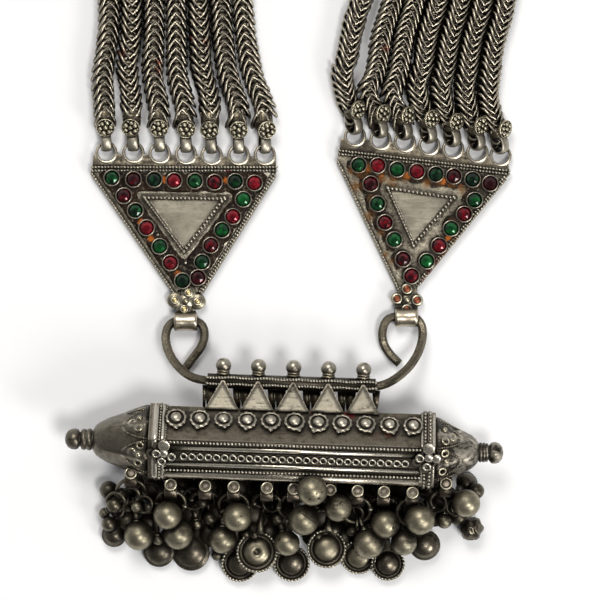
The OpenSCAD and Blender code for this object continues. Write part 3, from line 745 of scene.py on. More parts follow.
def oval_strap(deep, inset=0.0):
    """A domed strap bent to a long loop round the X axis."""
    points = []
    for i in range(STRAP_STEPS):
        angle = math.tau * i / STRAP_STEPS
        along, up = math.cos(angle), math.sin(angle)
        out = Vector((0, along * deep, up * STRAP_LONG)).normalized()
        middle = Vector((0, STRAP_MIDDLE + STRAP_LONG * along, deep * up)) - out * inset
        section = [(across * 0.97, rise * 0.5) for across, rise in STRAP_SECTION] if inset else STRAP_SECTION
        points += [(middle + out * rise + Vector((across, 0, 0))) * MM for across, rise in section]
    return points, grid_faces(STRAP_STEPS, len(STRAP_SECTION), True, True)


def chain_end_frame(side, k):
    """The frame of a chain end at the ring's wire, and the same frame rolled about the strand."""
    ring = RINGS[side][k]
    lean = Matrix.Rotation(math.radians(LEAN[side]), 4, "Z")
    base = Matrix.Translation(pendant(ring[0], ring[1] + EYE_OFFSET, RING_Z + END_LIFT[side])) @ lean
    return base, base @ Matrix.Rotation(math.radians(END_ROLL[side][k]), 4, "Y")


def add_sleeve(build, side, frame, grain, rng):
    """The sleeve of a chain end, with grains scattered over it."""
    lift = CHAIN_Z - RING_Z
    rows = SLEEVE_ROWS[side]
    route = [Vector((0, y, lift)) * MM for y, _ in rows]
    build.add(tube(route, [r * MM for _, r in rows], 20), frame)
    for _ in range(SLEEVE_GRAINS[side]):
        y = rng.uniform(rows[2][0], rows[-1][0] - 0.4)
        angle = rng.uniform(-1.2, 1.2)
        spot = frame @ move_by(SLEEVE_R * math.sin(angle), y, lift + SLEEVE_R * math.cos(angle))
        build.add(grain, spot @ Matrix.Scale(rng.uniform(0.18, 0.3), 4))


def add_rosette_grains(build, k, disc, grain, rng):
    """One grain in the middle of a rosette and two rings of six, each a little out of place."""
    spots = [(0.1, 90, 0.74)]
    for radius, first, size in ROSETTE_RINGS:
        spots += [(radius, 60 * i + first + 17 * k, size) for i in range(6)]
    for radius, angle, size in spots:
        angle = math.radians(angle + rng.uniform(-9, 9))
        spot = move_by(radius * math.cos(angle), radius * math.sin(angle), GRAIN_SEAT)
        build.add(grain, disc @ spot @ Matrix.Scale(size * rng.uniform(0.88, 1.08), 4))


def add_chain_ends():
    rng = random.Random(8)
    grain = lathe(GRAIN_ROWS, 10)
    for side in ("left", "right"):
        straps, shade_linings, sleeves, rosettes, grains = Build(), Build(), Build(), Build(), Build()
        for k in range(STRANDS):
            base, rolled = chain_end_frame(side, k)
            straps.add(oval_strap(STRAP_DEEP[side]), rolled)
            # A black inner skin of each strap: painted shade inside its loop
            shade_linings.add(oval_strap(STRAP_DEEP[side], STRAP_SHADE_INSET), rolled)
            add_sleeve(sleeves, side, base, grain, rng)
            disc = rolled @ move_by(0, *DISC_PLACE) @ Matrix.Rotation(DISC_TILT, 4, "X")
            rosettes.add(lathe(DISC_ROWS, 28), disc)
            add_rosette_grains(grains, k, disc, grain, rng)
        straps.piece(f"{side}_chain_straps", "satin")
        shade_linings.piece(f"{side}_chain_strap_linings", "black")
        rosettes.piece(f"{side}_chain_rosettes", "rosette")
        grains.piece(f"{side}_rosette_grains", "granule")
        sleeve = sleeves.piece(f"{side}_chain_sleeves", "sleeve")
        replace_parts(sleeve, *[f"{side}_chain_end_{k + 1}" for k in range(STRANDS)])


def add_rungs(finish, color):
    """Paints the backs of the inner loops across the dark tube inside a strand, which is painted shade, from
    the mesh's length along the strand.
    """
    tree = finish.node_tree
    turns = maths(tree, "MULTIPLY", read_layer(tree, "along"), math.tau / (RUNG_PITCH * MM))
    rung = span(tree, maths(tree, "SINE", turns), 0.1, 0.75)
    patches = span(tree, noise(tree, object_place(tree), 700.0), 0.3, 0.55, 0.35, 1.0)
    blend_in(finish, maths(tree, "MULTIPLY", rung, patches), color)


def lengths_along(route):
    """How far each point of a route lies from its start."""
    reach = [0.0]
    for here, after in zip(route, route[1:]):
        reach.append(reach[-1] + (after - here).length)
    return reach


def add_chains():
    shade_cores, along = Build(), []
    first = folded_link("link_pattern", LINK_REACH, LINK_RISE, LINK_DROP)
    second = folded_link("cross_link_pattern", CROSS_REACH, CROSS_RISE, CROSS_DROP)
    second.data.transform(Matrix.Rotation(math.pi / 2, 4, "Z"))
    for k in range(STRANDS):
        parts = []
        for side in ("left", "right"):
            route = half_strand(side, k, FOLD_UP[side][k])
            # The dark tube inside the links: painted shade
            shade_cores.add(tube(route, CORE_R * MM, CORE_SIDES))
            along += [reach for reach in lengths_along(route) for _ in range(CORE_SIDES)]
            if FOLD_UP[side][k]:
                route = route[::-1]
            for pattern, shift in ((first, 0.0), (second, 0.5)):
                start = route[0] + (route[1] - route[0]).normalized() * shift * PITCH[side] * MM
                path = [([start] + route[1:], False)]
                parts.append(repeat_along(f"chain_part_{side}_{k}", path, pattern, PITCH[side] * MM,
                                          FINISH["chain"], STRAND_ROLL[side][k], LINK_TURN_JITTER,
                                          LINK_SIZE_JITTER, 7 * k + len(parts)))
        strand = join(parts, f"foxtail_chain_{k + 1}")
        add_piece(strand, None)
        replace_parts(strand, f"chain_{k + 1}")
    set_layer(shade_cores.piece("chain_cores", "shade_core", "dark_silver"), "along", along)
    add_rungs(FINISH["shade_core"], RUNG_COLOR)
    for pattern in (first, second):
        bpy.data.objects.remove(pattern)


def join(parts, name):
    """Joins mesh objects into the first one and names it."""
    bpy.ops.object.select_all(action="DESELECT")
    for part in parts:
        part.select_set(True)
    bpy.context.view_layer.objects.active = parts[0]
    bpy.ops.object.join()
    parts[0].name = name
    parts[0].data.name = name
    return parts[0]


# Turned and solid shapes
def lathe(profile, sides):
    """Points and faces of a solid of revolution about Z from (radius, height) rows in mm, end to end."""
    points, rows = [], []
    for radius, height in profile:
        if radius < 1e-6:
            rows.append([len(points)])
            points.append(Vector((0, 0, height)) * MM)
            continue
        rows.append(list(range(len(points), len(points) + sides)))
        for j in range(sides):
            angle = math.tau * j / sides
            points.append(Vector((radius * math.cos(angle), radius * math.sin(angle), height)) * MM)
    faces = []
    for low, high in zip(rows, rows[1:]):
        for j in range(sides):
            k = (j + 1) % sides
            corner = [low[j % len(low)], low[k % len(low)], high[k % len(high)], high[j % len(high)]]
            face = tuple(dict.fromkeys(corner))
            if len(face) > 2:
                faces.append(face)
    return points, faces


def circle_route(centre, first, second, radius, steps):
    """Points of a circle about a centre, in the plane of two unit directions. The radius is in mm."""
    turns = [math.tau * i / steps for i in range(steps)]
    return [centre + radius * MM * (math.cos(turn) * first + math.sin(turn) * second) for turn in turns]


def flat_circle(centre, radius, steps):
    return circle_route(centre, AXIS_X, AXIS_Y, radius, steps)


class Build:
    """Collects points and faces of several shapes into one mesh."""

    def __init__(self):
        self.points = []
        self.faces = []

    def add(self, shape, matrix=None):
        points, faces = shape
        start = len(self.points)
        self.points += [matrix @ p for p in points] if matrix is not None else points
        self.faces += [tuple(i + start for i in face) for face in faces]

    def piece(self, name, finish, slot="silver"):
        """Makes what was collected a piece with one finish."""
        return add_piece(mesh_object(name, self.points, self.faces), FINISH[finish])


def bead_pattern(name, radius, stretch=1.0, slant=0.0):
    """A small round grain, or a slanted one for twisted wire."""
    rows = [(0, -1), (0.6, -0.8), (1, 0), (0.6, 0.8), (0, 1)]
    points, faces = lathe([(r * radius, z * radius * stretch) for r, z in rows], 8)
    bead = mesh_object(name, points, faces)
    bead.data.transform(Matrix.Rotation(slant, 4, "X"))
    return bead


# The case's own frame: X along it, Y toward the hanger, Z up
CASE_X, CASE_Y, CASE_Z = -2.0, -36.35, 10.8
CASE_TURN = math.radians(1.9)
CASE_ROLL = -3.5
CASE_SIDE = 10.0
CASE_LENGTH = 70.0
FACE_REACH = CASE_LENGTH / 2 - 3.7
CASE_FRAME = Matrix.Translation(pendant(CASE_X, CASE_Y, CASE_Z)) @ Matrix.Rotation(-CASE_TURN, 4, "Z")
CASE_ALONG = Vector((math.cos(CASE_TURN), -math.sin(CASE_TURN), 0))


def on_case(x, y, z):
    """A point of the case's frame, in mm, as a row frame vector."""
    return CASE_FRAME @ (Vector((x, y, z)) * MM)


def face_frame(tilt, x, y, z=0.0):
    """The frame of a place on a long face of the case, with Z outward."""
    turn = Matrix.Rotation(math.radians(CASE_ROLL + tilt), 4, "X")
    out = CASE_SIDE * math.cos(math.radians(30))
    return CASE_FRAME @ turn @ move_by(x, y, out + z)


def line_on_face(tilt, y, z, reach):
    ends = [face_frame(tilt, x, y, z).translation for x in (-reach, reach)]
    return ends, False


# Rows on the case, in mm: beaded wires and rings across its lower front face, hanger, bosses and knobs
BEADED_ROWS = (4.7, -2.9)
RINGS_IN_ROW = 28
RING_PITCH = 2.0
RING_ROW_Y = 0.9
HANGER_X, HANGER_Y, HANGER_Z, HANGER_HALF = -0.6, 15.5, 0.3, 20.75
BOSSES, BOSS_FIRST, BOSS_PITCH, BOSS_Y = 11, -28.5, 5.8, 1.1
KNOBS, KNOB_FIRST, KNOB_PITCH = 5, -17.5, 8.65
RING_ROW_X = 0.7
ROW_RING = (0.78, 0.27)
BOSS_DOME = (1.32, 0.85)
BOSS_DOME_LIFT = 0.75


def hex_route(x, radius):
    """Corners of a six-sided band round the case at a place along it."""
    corners = []
    for i in range(6):
        angle = math.radians(60 * i + CASE_ROLL)
        corners.append(on_case(x, -radius * math.sin(angle), radius * math.cos(angle)))
    return corners


def hex_path(x, radius, cut=0.9):
    """A six-sided path round the case with its corners taken off."""
    corners = hex_route(x, radius)
    path = []
    for i, corner in enumerate(corners):
        before, after = corners[i - 1], corners[(i + 1) % 6]
        into, out = (corner - before).normalized(), (after - corner).normalized()
        start, end = corner - into * cut * MM, corner + out * cut * MM
        early, late = start.lerp(corner, 0.55), end.lerp(corner, 0.55)
        path += [start, early.lerp(end, 0.12), late.lerp(start, 0.12), end]
    return path


# Band wires: place along the case from its middle, radius of the path, wire radius
LEFT_RIDGES = [(-33.35, 9.85, 0.95), (-31.55, 10.1, 0.55)]
RIGHT_RIDGES = [(34.55, 10.1, 0.5), (31.75, 10.1, 0.35)]
BAND_BEADS = [(-32.3, 10.5, 0.38), (-30.9, 10.1, 0.34), (33.7, 10.5, 0.5), (32.5, 10.45, 0.48)]
FRONT_BEAD_PITCH = 0.88
FRONT_BEAD_R = 0.39
FRONT_LIFT = 0.42
FRONT_GROUND_R = 0.48
HANGER_WIRES = (-0.78, 0.8)
HANGER_BEAD_PITCH = 0.72
HANGER_BEAD_R = 0.42
HANGER_BEAD_LIFT = 1.78
HANGER_WAVER = 0.12
BEAD_JITTER = 0.12
GROUND_ENDS = (-0.998, 0.998)

# Dark grounds under the hanger's beads, which paint the patina and the shade between the beads, and the plain
# wires of the front: place across, height, radius
HANGER_GROUND = [(0, 0, 1.79), (0.85, 1.35, 0.44), (-0.85, 1.35, 0.44)]
FRONT_RODS = [(3.1, 0.0, 0.63), (-1.3, 0.0, 0.63)]
LOWER_ROD = (-4.3, -0.7, 1.22)


def small_ring(radius, wire, steps):
    return tube(flat_circle(Vector(), radius, steps), wire * MM, 6, True)


def dome_button(radius, rise):
    rows = [(0, -0.4), (radius, -0.4), (radius, 0.1)]
    rows += [(radius * math.cos(a), 0.1 + rise * math.sin(a)) for a in (0.3, 0.6, 0.9, 1.2, 1.4)]
    return lathe(rows + [(0, 0.1 + rise)], 20)


# Washer under a boss: rows of radius, height, share of the scallops
FLANGE_ROWS = [(1.72, 0.5, 0), (1.8, 0.86, 0), (1.98, 0.94, 0.1), (2.12, 0.8, 0.5), (2.2, 0.76, 1),
               (2.2, 0.3, 1), (1.72, 0.2, 0)]
SCALLOPS = 11
SCALLOP_REACH = 0.26
POINT_REACH = 0.55


def boss_flange():
    """A thin scalloped washer with a raised inner rim and one long point."""
    points = []
    steps = SCALLOPS * 6
    for radius, height, share in FLANGE_ROWS:
        for i in range(steps):
            angle = math.tau * i / steps
            lobe = abs(math.cos(SCALLOPS * angle / 2)) * SCALLOP_REACH
            lobe += POINT_REACH * max(0, math.cos(angle)) ** 30
            reach, rise = radius + share * lobe, height + share * lobe * 0.3
            points.append(Vector((reach * math.cos(angle), reach * math.sin(angle), rise)) * MM)
    return points, grid_faces(len(FLANGE_ROWS), steps, True)


def add_beads(name, paths, radius, pitch, finish, size_jitter, seed, stretch=1.0, slant=0.0):
    """A piece of beads, or of the turns of a twisted wire, at a pitch along paths. Sizes in mm."""
    bead = bead_pattern(name + "_pattern", radius, stretch, slant)
    add_piece(repeat_along(name, paths, bead, pitch * MM, FINISH[finish], size_jitter=size_jitter, seed=seed))
    bpy.data.objects.remove(bead)


def add_copies(name, shape, places, finish):
    """A piece of one shape at many places."""
    pattern = mesh_object(name + "_pattern", *shape)
    add_piece(copies_at(name, places, pattern, FINISH[finish]))
    bpy.data.objects.remove(pattern)


def face_rods(name, rods, finish, sides):
    """Round wires along the lower front face: place across it, height and radius."""
    build = Build()
    for y, z, radius in rods:
        build.add(tube(line_on_face(30, y, z, FACE_REACH)[0], radius * MM, sides))
    build.piece(name, finish)


def add_beaded_wires():
    for i, y in enumerate(BEADED_ROWS):
        add_beads(f"case_beads_{i + 1}", [line_on_face(30, y, FRONT_LIFT, FACE_REACH)], FRONT_BEAD_R,
                  FRONT_BEAD_PITCH, "rope", BEAD_JITTER, 3 + i)
    for i, y in enumerate(HANGER_WIRES):
        wave = []
        for j in range(25):
            x = HANGER_X + (j / 12 - 1) * HANGER_HALF
            waver = HANGER_WAVER * math.sin(x * 0.75 + y)
            wave.append(on_case(x, HANGER_Y + y + waver, HANGER_Z + HANGER_BEAD_LIFT))
        add_beads(f"hanger_beads_{i + 1}", [(wave, False)], HANGER_BEAD_R, HANGER_BEAD_PITCH, "rope",
                  BEAD_JITTER, 9 + i)
    # Dark tubes under the beaded rows: patina and painted shade in the gaps between the beads
    ground = Build()
    for y in BEADED_ROWS:
        ground.add(tube(line_on_face(30, y, 0, FACE_REACH)[0], FRONT_GROUND_R * MM, 12))
    for y, z, radius in HANGER_GROUND:
        ends = [on_case(HANGER_X + end * HANGER_HALF, HANGER_Y + y, HANGER_Z + z) for end in GROUND_ENDS]
        ground.add(tube(ends, radius * MM, 24))
    ground.piece("dark_bead_grounds", "dark_patina_and_shade")


def add_band_wires():
    for i, (x, radius, size) in enumerate(BAND_BEADS):
        path = [(hex_path(x, radius), True)]
        add_beads(f"band_beads_{i + 1}", path, size, size * 2.1, "rope", BEAD_JITTER, 20 + i)
    ridges = Build()
    for x, radius, wire in LEFT_RIDGES + RIGHT_RIDGES:
        ridges.add(tube(hex_path(x, radius), wire * MM, 12, True))
    ridges.piece("band_ridges", "bright")


def add_case_trim():
    add_beaded_wires()
    face_rods("front_wires", FRONT_RODS, "wire", 16)
    face_rods("lower_moulding", [LOWER_ROD], "moulding", 24)
    add_band_wires()
    first = RING_ROW_X - RING_PITCH * (RINGS_IN_ROW - 1) / 2
    places = [face_frame(30, first + RING_PITCH * i, RING_ROW_Y, FRONT_LIFT) for i in range(RINGS_IN_ROW)]
    add_copies("case_ring_row", small_ring(*ROW_RING, 12), places, "bright")
    add_bosses()
    add_band_flowers()
    add_knob_collars()
    add_lug_faces()
    add_back_lugs()


def add_bosses():
    rng = random.Random(17)
    places = []
    for i in range(BOSSES):
        seat = face_frame(-30, BOSS_FIRST + BOSS_PITCH * i, BOSS_Y, 0.15)
        turn = Matrix.Rotation(-math.pi / 2 + rng.uniform(-0.5, 0.5), 4, "Z")
        tip = Matrix.Rotation(rng.uniform(-0.08, 0.08), 4, "X")
        places.append(seat @ tip @ turn @ Matrix.Scale(rng.uniform(0.95, 1.08), 4))
    add_copies("boss_flanges", boss_flange(), places, "rope")
    raised = [place @ move_by(0, 0, BOSS_DOME_LIFT) for place in places]
    add_copies("boss_domes", dome_button(*BOSS_DOME), raised, "button")


def flower_shapes(petals, petal_r, wire, grain_r, leaves):
    """Ring petals with sunk cups round a domed grain. The petals numbered as leaves are flat discs."""
    outer = petal_r + wire * 0.6
    cup = [(0, -0.5), (outer, -0.5), (outer, 0.1), (petal_r * 0.8, 0.05), (petal_r * 0.6, -0.05), (0, -0.05)]
    for i, (x, y) in enumerate(petals):
        if i in leaves:
            yield dome_button(petal_r + (0.6 if i == 0 else 0.25), 0.25), move_by(x, y, 0.15)
            continue
        yield small_ring(petal_r, wire, 24), move_by(x, y, 0.2)
        yield lathe(cup, 20), move_by(x, y, 0)
    yield dome_button(grain_r, 0.5), Matrix.Identity(4)


# Flowers on the bands: place along, place across, petal centres, and which petals are flat leaves
FLOWER_LIFT = 1.5
BAND_FLOWERS = {"left": (-31.1, 2.2, [(0.1, 2.1), (1.9, -0.9), (-0.5, -2.2), (-1.75, -0.1)], (0,)),
                "right": (33.4, 3.3, [(-0.1, 2.5), (1.8, -0.15), (-2.2, -0.15), (-0.45, -2.4)], (0, 1))}


def add_band_flowers():
    build = Build()
    for x, y, petals, leaves in BAND_FLOWERS.values():
        seat = face_frame(30, x, y, FLOWER_LIFT)
        for shape, place in flower_shapes(petals, 0.84, 0.3, 1.15, leaves):
            build.add(shape, seat @ place)
    build.piece("band_flowers", "bright")


# Rings of a knob collar: reach from the hanger's middle line, radius, wire radius
KNOB_RINGS = [(1.75, 1.4, 0.36), (2.4, 1.3, 0.32)]
KNOB_BALL = (3.85, 1.9)


def add_knob_collars():
    """Two turned rings under each knob ball, and the fuller skin of the ball."""
    build, balls = Build(), Build()
    for i in range(KNOBS):
        x = KNOB_FIRST + KNOB_PITCH * i
        middle = on_case(x, HANGER_Y + KNOB_BALL[0], HANGER_Z)
        balls.add(ball_shape(KNOB_BALL[1], 0.9), Matrix.Translation(middle))
        for reach, radius, wire in KNOB_RINGS:
            middle = on_case(x, HANGER_Y + reach, HANGER_Z)
            build.add(tube(circle_route(middle, CASE_ALONG, AXIS_Z, radius, 20), wire * MM, 8, True))
    build.piece("knob_collars", "sleeve")
    balls.piece("knob_balls", "cap")


# Faces of the lugs in the case's frame: half width, place across and height of foot and tip, and the swell
LUG_HALF, LUG_FOOT, LUG_TIP, LUG_SWELL = 4.08, (8.5, 5.45), (15.35, 2.55), 0.05
LUG_STEPS = 8


def add_lug_faces():
    """A slightly swollen three-cornered face on each lug."""
    build = Build()
    for i in range(KNOBS):
        middle = KNOB_FIRST + KNOB_PITCH * i
        points, rows = [], []
        for a in range(LUG_STEPS + 1):
            up = a / LUG_STEPS
            rows.append(range(len(points), len(points) + LUG_STEPS + 1 - a))
            for b in range(LUG_STEPS + 1 - a):
                across = (2 * b / (LUG_STEPS - a) - 1) * (1 - up) if a < LUG_STEPS else 0.0
                bulge = 27 * up * (1 - up - across) * (1 - up + across) / 4
                y, z = (foot + (tip - foot) * up for foot, tip in zip(LUG_FOOT, LUG_TIP))
                points.append(on_case(middle + LUG_HALF * across, y, z + LUG_SWELL * bulge))
        faces = []
        for low, high in zip(rows, rows[1:]):
            for b in range(len(high)):
                faces.append((low[b], low[b + 1], high[b]))
                if b + 1 < len(high):
                    faces.append((low[b + 1], high[b + 1], high[b]))
        count = len(points)
        border = [r[0] for r in rows] + [r[-1] for r in rows[::-1]][1:] + list(rows[0])[1:-1][::-1]
        sunk = [points[j] - Vector((0, 0, 0.3 * MM)) for j in border]
        faces += [(border[j], border[(j + 1) % len(border)], count + (j + 1) % len(border), count + j)
                  for j in range(len(border))]
        faces.append(tuple(range(count, count + len(border)))[::-1])
        build.add((points + sunk, faces))
    build.piece("lug_faces", "lug")


# Back straps behind the lugs, which stand for the folded backs of the lugs and paint the shade under the
# hanger: offset from the knob, half width at the hanger and at the case
BACK_STRAPS = [(-3.1, 1.5, 0.7), (3.3, 1.0, 0.3), (-4.6, 0.5, 0.3)]


def add_back_lugs():
    """Dark straps seen between the lugs, behind the hanger tube: partly the backs of the lugs and partly
    painted shade, broad at the top where the hanger's shade falls.
    """
    build = Build()
    for i in range(KNOBS):
        for offset, top, foot in BACK_STRAPS:
            x = KNOB_FIRST + KNOB_PITCH * i + offset
            outline = [(x - foot, 8.2), (x + foot, 8.2), (x + top, 14.4), (x - top, 14.4)]
            points = [on_case(a, b, z + 0.3 * (b - 8.2)) for z in (-3.6, -2.9) for a, b in outline]
            build.add((points, [(3, 2, 1, 0), (4, 5, 6, 7)] + grid_faces(2, 4, False, True)))
    build.piece("hanger_back_straps", "sleeve")


# End caps: rows of place along the cap, half width, and how round it is there
CAP_START = 35.1
LEFT_CAP = [(0, 8.0, 0.1), (1.2, 7.9, 0.12), (4, 7.1, 0.2), (6.3, 6.25, 0.25), (10.2, 5.1, 0.45),
            (12.0, 4.4, 0.7), (13.2, 3.75, 0.9), (13.8, 2.8, 1), (14.1, 2.2, 1), (14.3, 2.55, 1),
            (14.9, 2.75, 1), (15.4, 2.6, 1), (15.6, 2.25, 1), (15.8, 2.55, 1), (16.3, 2.65, 1),
            (16.8, 2.4, 1), (17.0, 1.8, 1), (17.35, 1.85, 1), (17.6, 2.35, 1), (18.2, 2.62, 1),
            (19.2, 2.55, 1), (20.1, 2.1, 1), (20.7, 1.2, 1), (20.9, 0.3, 1)]
RIGHT_CAP = [(0, 7.35, 0.1), (1.0, 7.25, 0.15), (2.8, 6.6, 0.3), (5.4, 5.5, 0.5), (7.5, 4.75, 0.65),
             (9.2, 4.05, 0.8), (10.2, 3.3, 0.95), (10.8, 2.5, 1), (11.0, 2.05, 1), (11.2, 2.4, 1),
             (11.6, 2.5, 1), (11.85, 2.15, 1), (12.05, 2.42, 1), (12.45, 2.45, 1), (12.65, 2.1, 1),
             (12.85, 2.35, 1), (13.2, 2.3, 1), (13.45, 1.7, 1), (13.7, 2.1, 1), (14.2, 2.6, 1),
             (15.1, 2.72, 1), (16.1, 2.35, 1), (16.8, 1.5, 1), (17.1, 0.3, 1)]
CAPS = (("left", LEFT_CAP, -1), ("right", RIGHT_CAP, 1))
CAP_SIDES = 48
COLLAR_STEP = 1.7
CAP_LOOP_Y = -9.6
FRINGE_Z = -0.8
LOOP_PLACES = {"left": (-39.4, CAP_LOOP_Y), "right": (38.2, CAP_LOOP_Y)}


def cap_shape(rows, flip):
    """A six-sided dome that grows round toward its collar and ball."""
    points = []
    for along, width, round_share in rows:
        for j in range(CAP_SIDES):
            angle = 360 * j / CAP_SIDES
            off = math.radians((angle + 30) % 60 - 30)
            radius = width * ((1 - round_share) / math.cos(off) + round_share)
            turn = math.radians(angle + CASE_ROLL)
            y, z = -radius * math.sin(turn), radius * math.cos(turn)
            points.append(on_case(flip * (CAP_START + along), y, z))
    last = (len(rows) - 1) * CAP_SIDES
    faces = grid_faces(len(rows), CAP_SIDES, False, True)
    faces += [tuple(range(CAP_SIDES))[::-1], tuple(range(last, last + CAP_SIDES))]
    return points, faces if flip > 0 else [face[::-1] for face in faces]


# Ornaments of the caps: kind, place along the cap, place across its face; for the upper and the front face
ORNAMENTS = {
    "left": {-30: [("ring", 4.1, 0.6), ("ring", 2.4, -1.1), ("ball", 2.2, 1.5)],
             30: [("ring", 1.9, 2.9), ("ring", 3.9, 0.8), ("ball", 2.2, 0.4), ("ring", 2.4, -1.9)]},
    "right": {-30: [("ring", 2.4, -1.5), ("ring", 4.2, 0.2), ("ball", 2.1, 1.5)],
              30: [("ring", 2.3, 3.0), ("ball", 2.6, 0.8), ("ring", 1.9, -1.9)]},
}
PANEL_REACH = 6.0


def cap_width(rows, along):
    """Half width of a cap at a place along it."""
    for (a, wide, _), (b, narrow, _) in zip(rows, rows[1:]):
        if along <= b:
            return wide + (narrow - wide) * (along - a) / (b - a)
    return rows[-1][1]


def on_cap(rows, flip, tilt, along, across, lift):
    """The frame of a place on a face of a cap, with Z outward."""
    width = cap_width(rows, along)
    slope = math.atan2(cap_width(rows, along + 0.5) - cap_width(rows, max(0, along - 0.5)), 1.0)
    turn = Matrix.Rotation(math.radians(CASE_ROLL + tilt), 4, "X")
    place = move_by(flip * (CAP_START + along), across, width + lift)
    return CASE_FRAME @ turn @ place @ Matrix.Rotation(-flip * slope, 4, "Y")


def add_cap_ornaments():
    build = Build()
    paths = []
    for side, rows, flip in CAPS:
        for tilt, marks in ORNAMENTS[side].items():
            for kind, along, across in marks:
                seat = on_cap(rows, flip, tilt, along, across, 0.15)
                build.add(small_ring(0.86, 0.3, 20) if kind == "ring" else dome_button(0.78, 0.8), seat)
        for tilt in (-90, -30, 30, 90, 150, 210):
            arc = []
            for i in range(17):
                angle = math.pi * (i / 16 - 0.5)
                along = 0.4 + PANEL_REACH * math.cos(angle) ** 1.3
                spread = 0.54 * cap_width(rows, along) * math.sin(angle)
                arc.append(on_cap(rows, flip, tilt, along, spread, 0.06).translation)
            paths.append((arc, False))
            if tilt not in ORNAMENTS[side]:
                for along, across in ((4.1, 0.4), (2.3, -1.3), (2.2, 1.5)):
                    build.add(small_ring(0.72, 0.26, 20), on_cap(rows, flip, tilt, along, across, 0.1))
    build.piece("cap_ornaments", "rosette")
    add_beads("cap_panel_beads", paths, 0.24, 0.6, "sleeve", 0.15, 12)


# Collar of a fringe loop, a short tube end with a rolled rim and a pit: rows of radius and height
PIT_FLOOR = 2.45
COLLAR_ROWS = [(0, 0.4), (1.55, 0.4), (1.5, 1.0), (1.42, 2.5), (1.54, 2.8), (1.54, 3.0), (1.4, 3.15),
               (1.2, 3.08), (1.08, 2.85), (1.03, PIT_FLOOR), (0, PIT_FLOOR)]


def add_end_caps():
    for side, rows, flip in CAPS:
        skin = mesh_object(f"{side}_cap_skin", *cap_shape(rows, flip))
        add_piece(skin, FINISH["cap" if side == "left" else "pale_cap"])
        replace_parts(skin, f"{side}_end_cap")
    add_cap_ornaments()


def revolved(profile, sides, start, axis, spoke):
    """A closed ring about a start point from a closed profile of (radius, place along the axis) in mm."""
    other = axis.cross(spoke)
    points = []
    for j in range(sides):
        angle = math.tau * j / sides
        out = math.cos(angle) * spoke + math.sin(angle) * other
        points += [start + (out * radius + axis * along) * MM for radius, along in profile]
    return points, grid_faces(sides, len(profile), True)


# Strap eye: a barrel with a bore, as (radius, place across the strap)
EYE_BARREL = [(1.1, -1.45), (1.1, 1.45), (1.6, 1.58), (1.82, 1.35), (1.84, -1.35), (1.6, -1.58)]
STRAP_REACH, STRAP_LIFT, STRAP_TIP_LIFT, STRAP_R = 3.9, 0.75, 1.25, 0.62


def add_collars():
    """Collars and dark straps of all the fringe loops."""
    collars, pits, straps = Build(), Build(), Build()
    for x, eye_y in EYES:
        seat = CASE_FRAME @ move_by(x, eye_y + COLLAR_STEP, FRINGE_Z)
        collars.add(lathe(COLLAR_ROWS, 24), seat)
        pits.add(dome_button(1.0, 0.16), seat @ move_by(0, 0, PIT_FLOOR))
        straps.add(revolved(EYE_BARREL, 24, on_case(x, eye_y, FRINGE_Z), CASE_ALONG, AXIS_Z))
        for shift in (-0.95, 0, 0.95):
            ends = ((eye_y + STRAP_REACH, STRAP_LIFT), (eye_y, STRAP_TIP_LIFT))
            route = [on_case(x + shift, y, FRINGE_Z + lift) for y, lift in ends]
            straps.add(tube(route, STRAP_R * MM, 8))
    collars.piece("fringe_collars", "granule")
    pits.piece("collar_pits", "pit")
    straps.piece("fringe_straps", "strap")


# Fringe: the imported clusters' own places. Drops: kind, x, y, z, radius, place round the jump ring
FRINGE_X = (-29.5, -21, -14, -5.8, 0.8, 9.8, 16.5, 23, 30)
FRINGE_EYE_Y = -12.1
EYES = [LOOP_PLACES["left"]] + [(x, FRINGE_EYE_Y) for x in FRINGE_X] + [LOOP_PLACES["right"]]
JUMP_DIP = (35, 35, 60, 35, 60, 30, 55, 25, 60, 20, 40)
JUMP_R, JUMP_WIRE_R, EYE_R, EYE_WIRE_R, EYE_SHIFT = 3.5, 0.48, 1.05, 0.36, 0.15
DISH_LEAN = 0.35
DROPS = [
    [("dome", -46.4, -58.6, 2.4, 3.1), ("ball", -48.7, -53.2, 3.5, 1.4), ("ball", -40, -58.6, 6, 3.3),
     ("ball", -40.4, -51.4, 9.2, 1.4)],
    [("ball", -32.7, -53.4, 10.8, 3.1, -26), ("ball", -30.2, -58.3, 6.8, 3.3, 28),
     ("ball", -35.3, -59.6, 5.5, 1.4, -62), ("dome", -35.2, -62.8, 1.9, 3.9, 0)],
    [("dome", -27.2, -62.9, 1.9, 4.7, -12), ("ball", -25.6, -55.9, 5.6, 1.3, -55),
     ("ball", -20.7, -63.7, 1.7, 1.4, 14)],
    [("ball", -15.5, -53.8, 11, 3.2, 46), ("ball", -19.2, -59.6, 5.6, 3.1, -35),
     ("dish", -15, -65.7, 1.9, 4.6, 5)],
    [("dish", -10.7, -62.7, 5, 5.1, -15), ("ball", -3.2, -60.4, 7.6, 2.8, 35)],
    [("ball", 0.9, -54.6, 11, 3.3, 48), ("ball", 3, -47, 19.2, 3.3, 92),
     ("dish", -2.1, -65.7, 1.9, 4.5, -10)],
    [("ball", 9.3, -51.4, 14, 3, -60), ("dish", 6.6, -61.9, 5, 4.8)],
    [("dish", 14.6, -64, 1.9, 4.4), ("ball", 17.1, -60.5, 7, 3.4)],
    [("ball", 21.1, -55.6, 9.6, 3.2, -25), ("dish", 21.9, -65.8, 1.9, 4.2, 5),
     ("ball", 25.7, -60.2, 7.8, 2.9, 40)],
    [("ball", 29.5, -54.4, 12.2, 3.3, 45), ("dome", 31.1, -61.1, 3.5, 3.9, 10)],
    [("ball", 41, -50.4, 11.6, 3.05, 68), ("dome", 42.7, -57, 3.5, 2.9), ("ball", 35.8, -55, 6, 1.9),
     ("dome", 41.6, -45.6, 2.6, 2.9, 122)]]
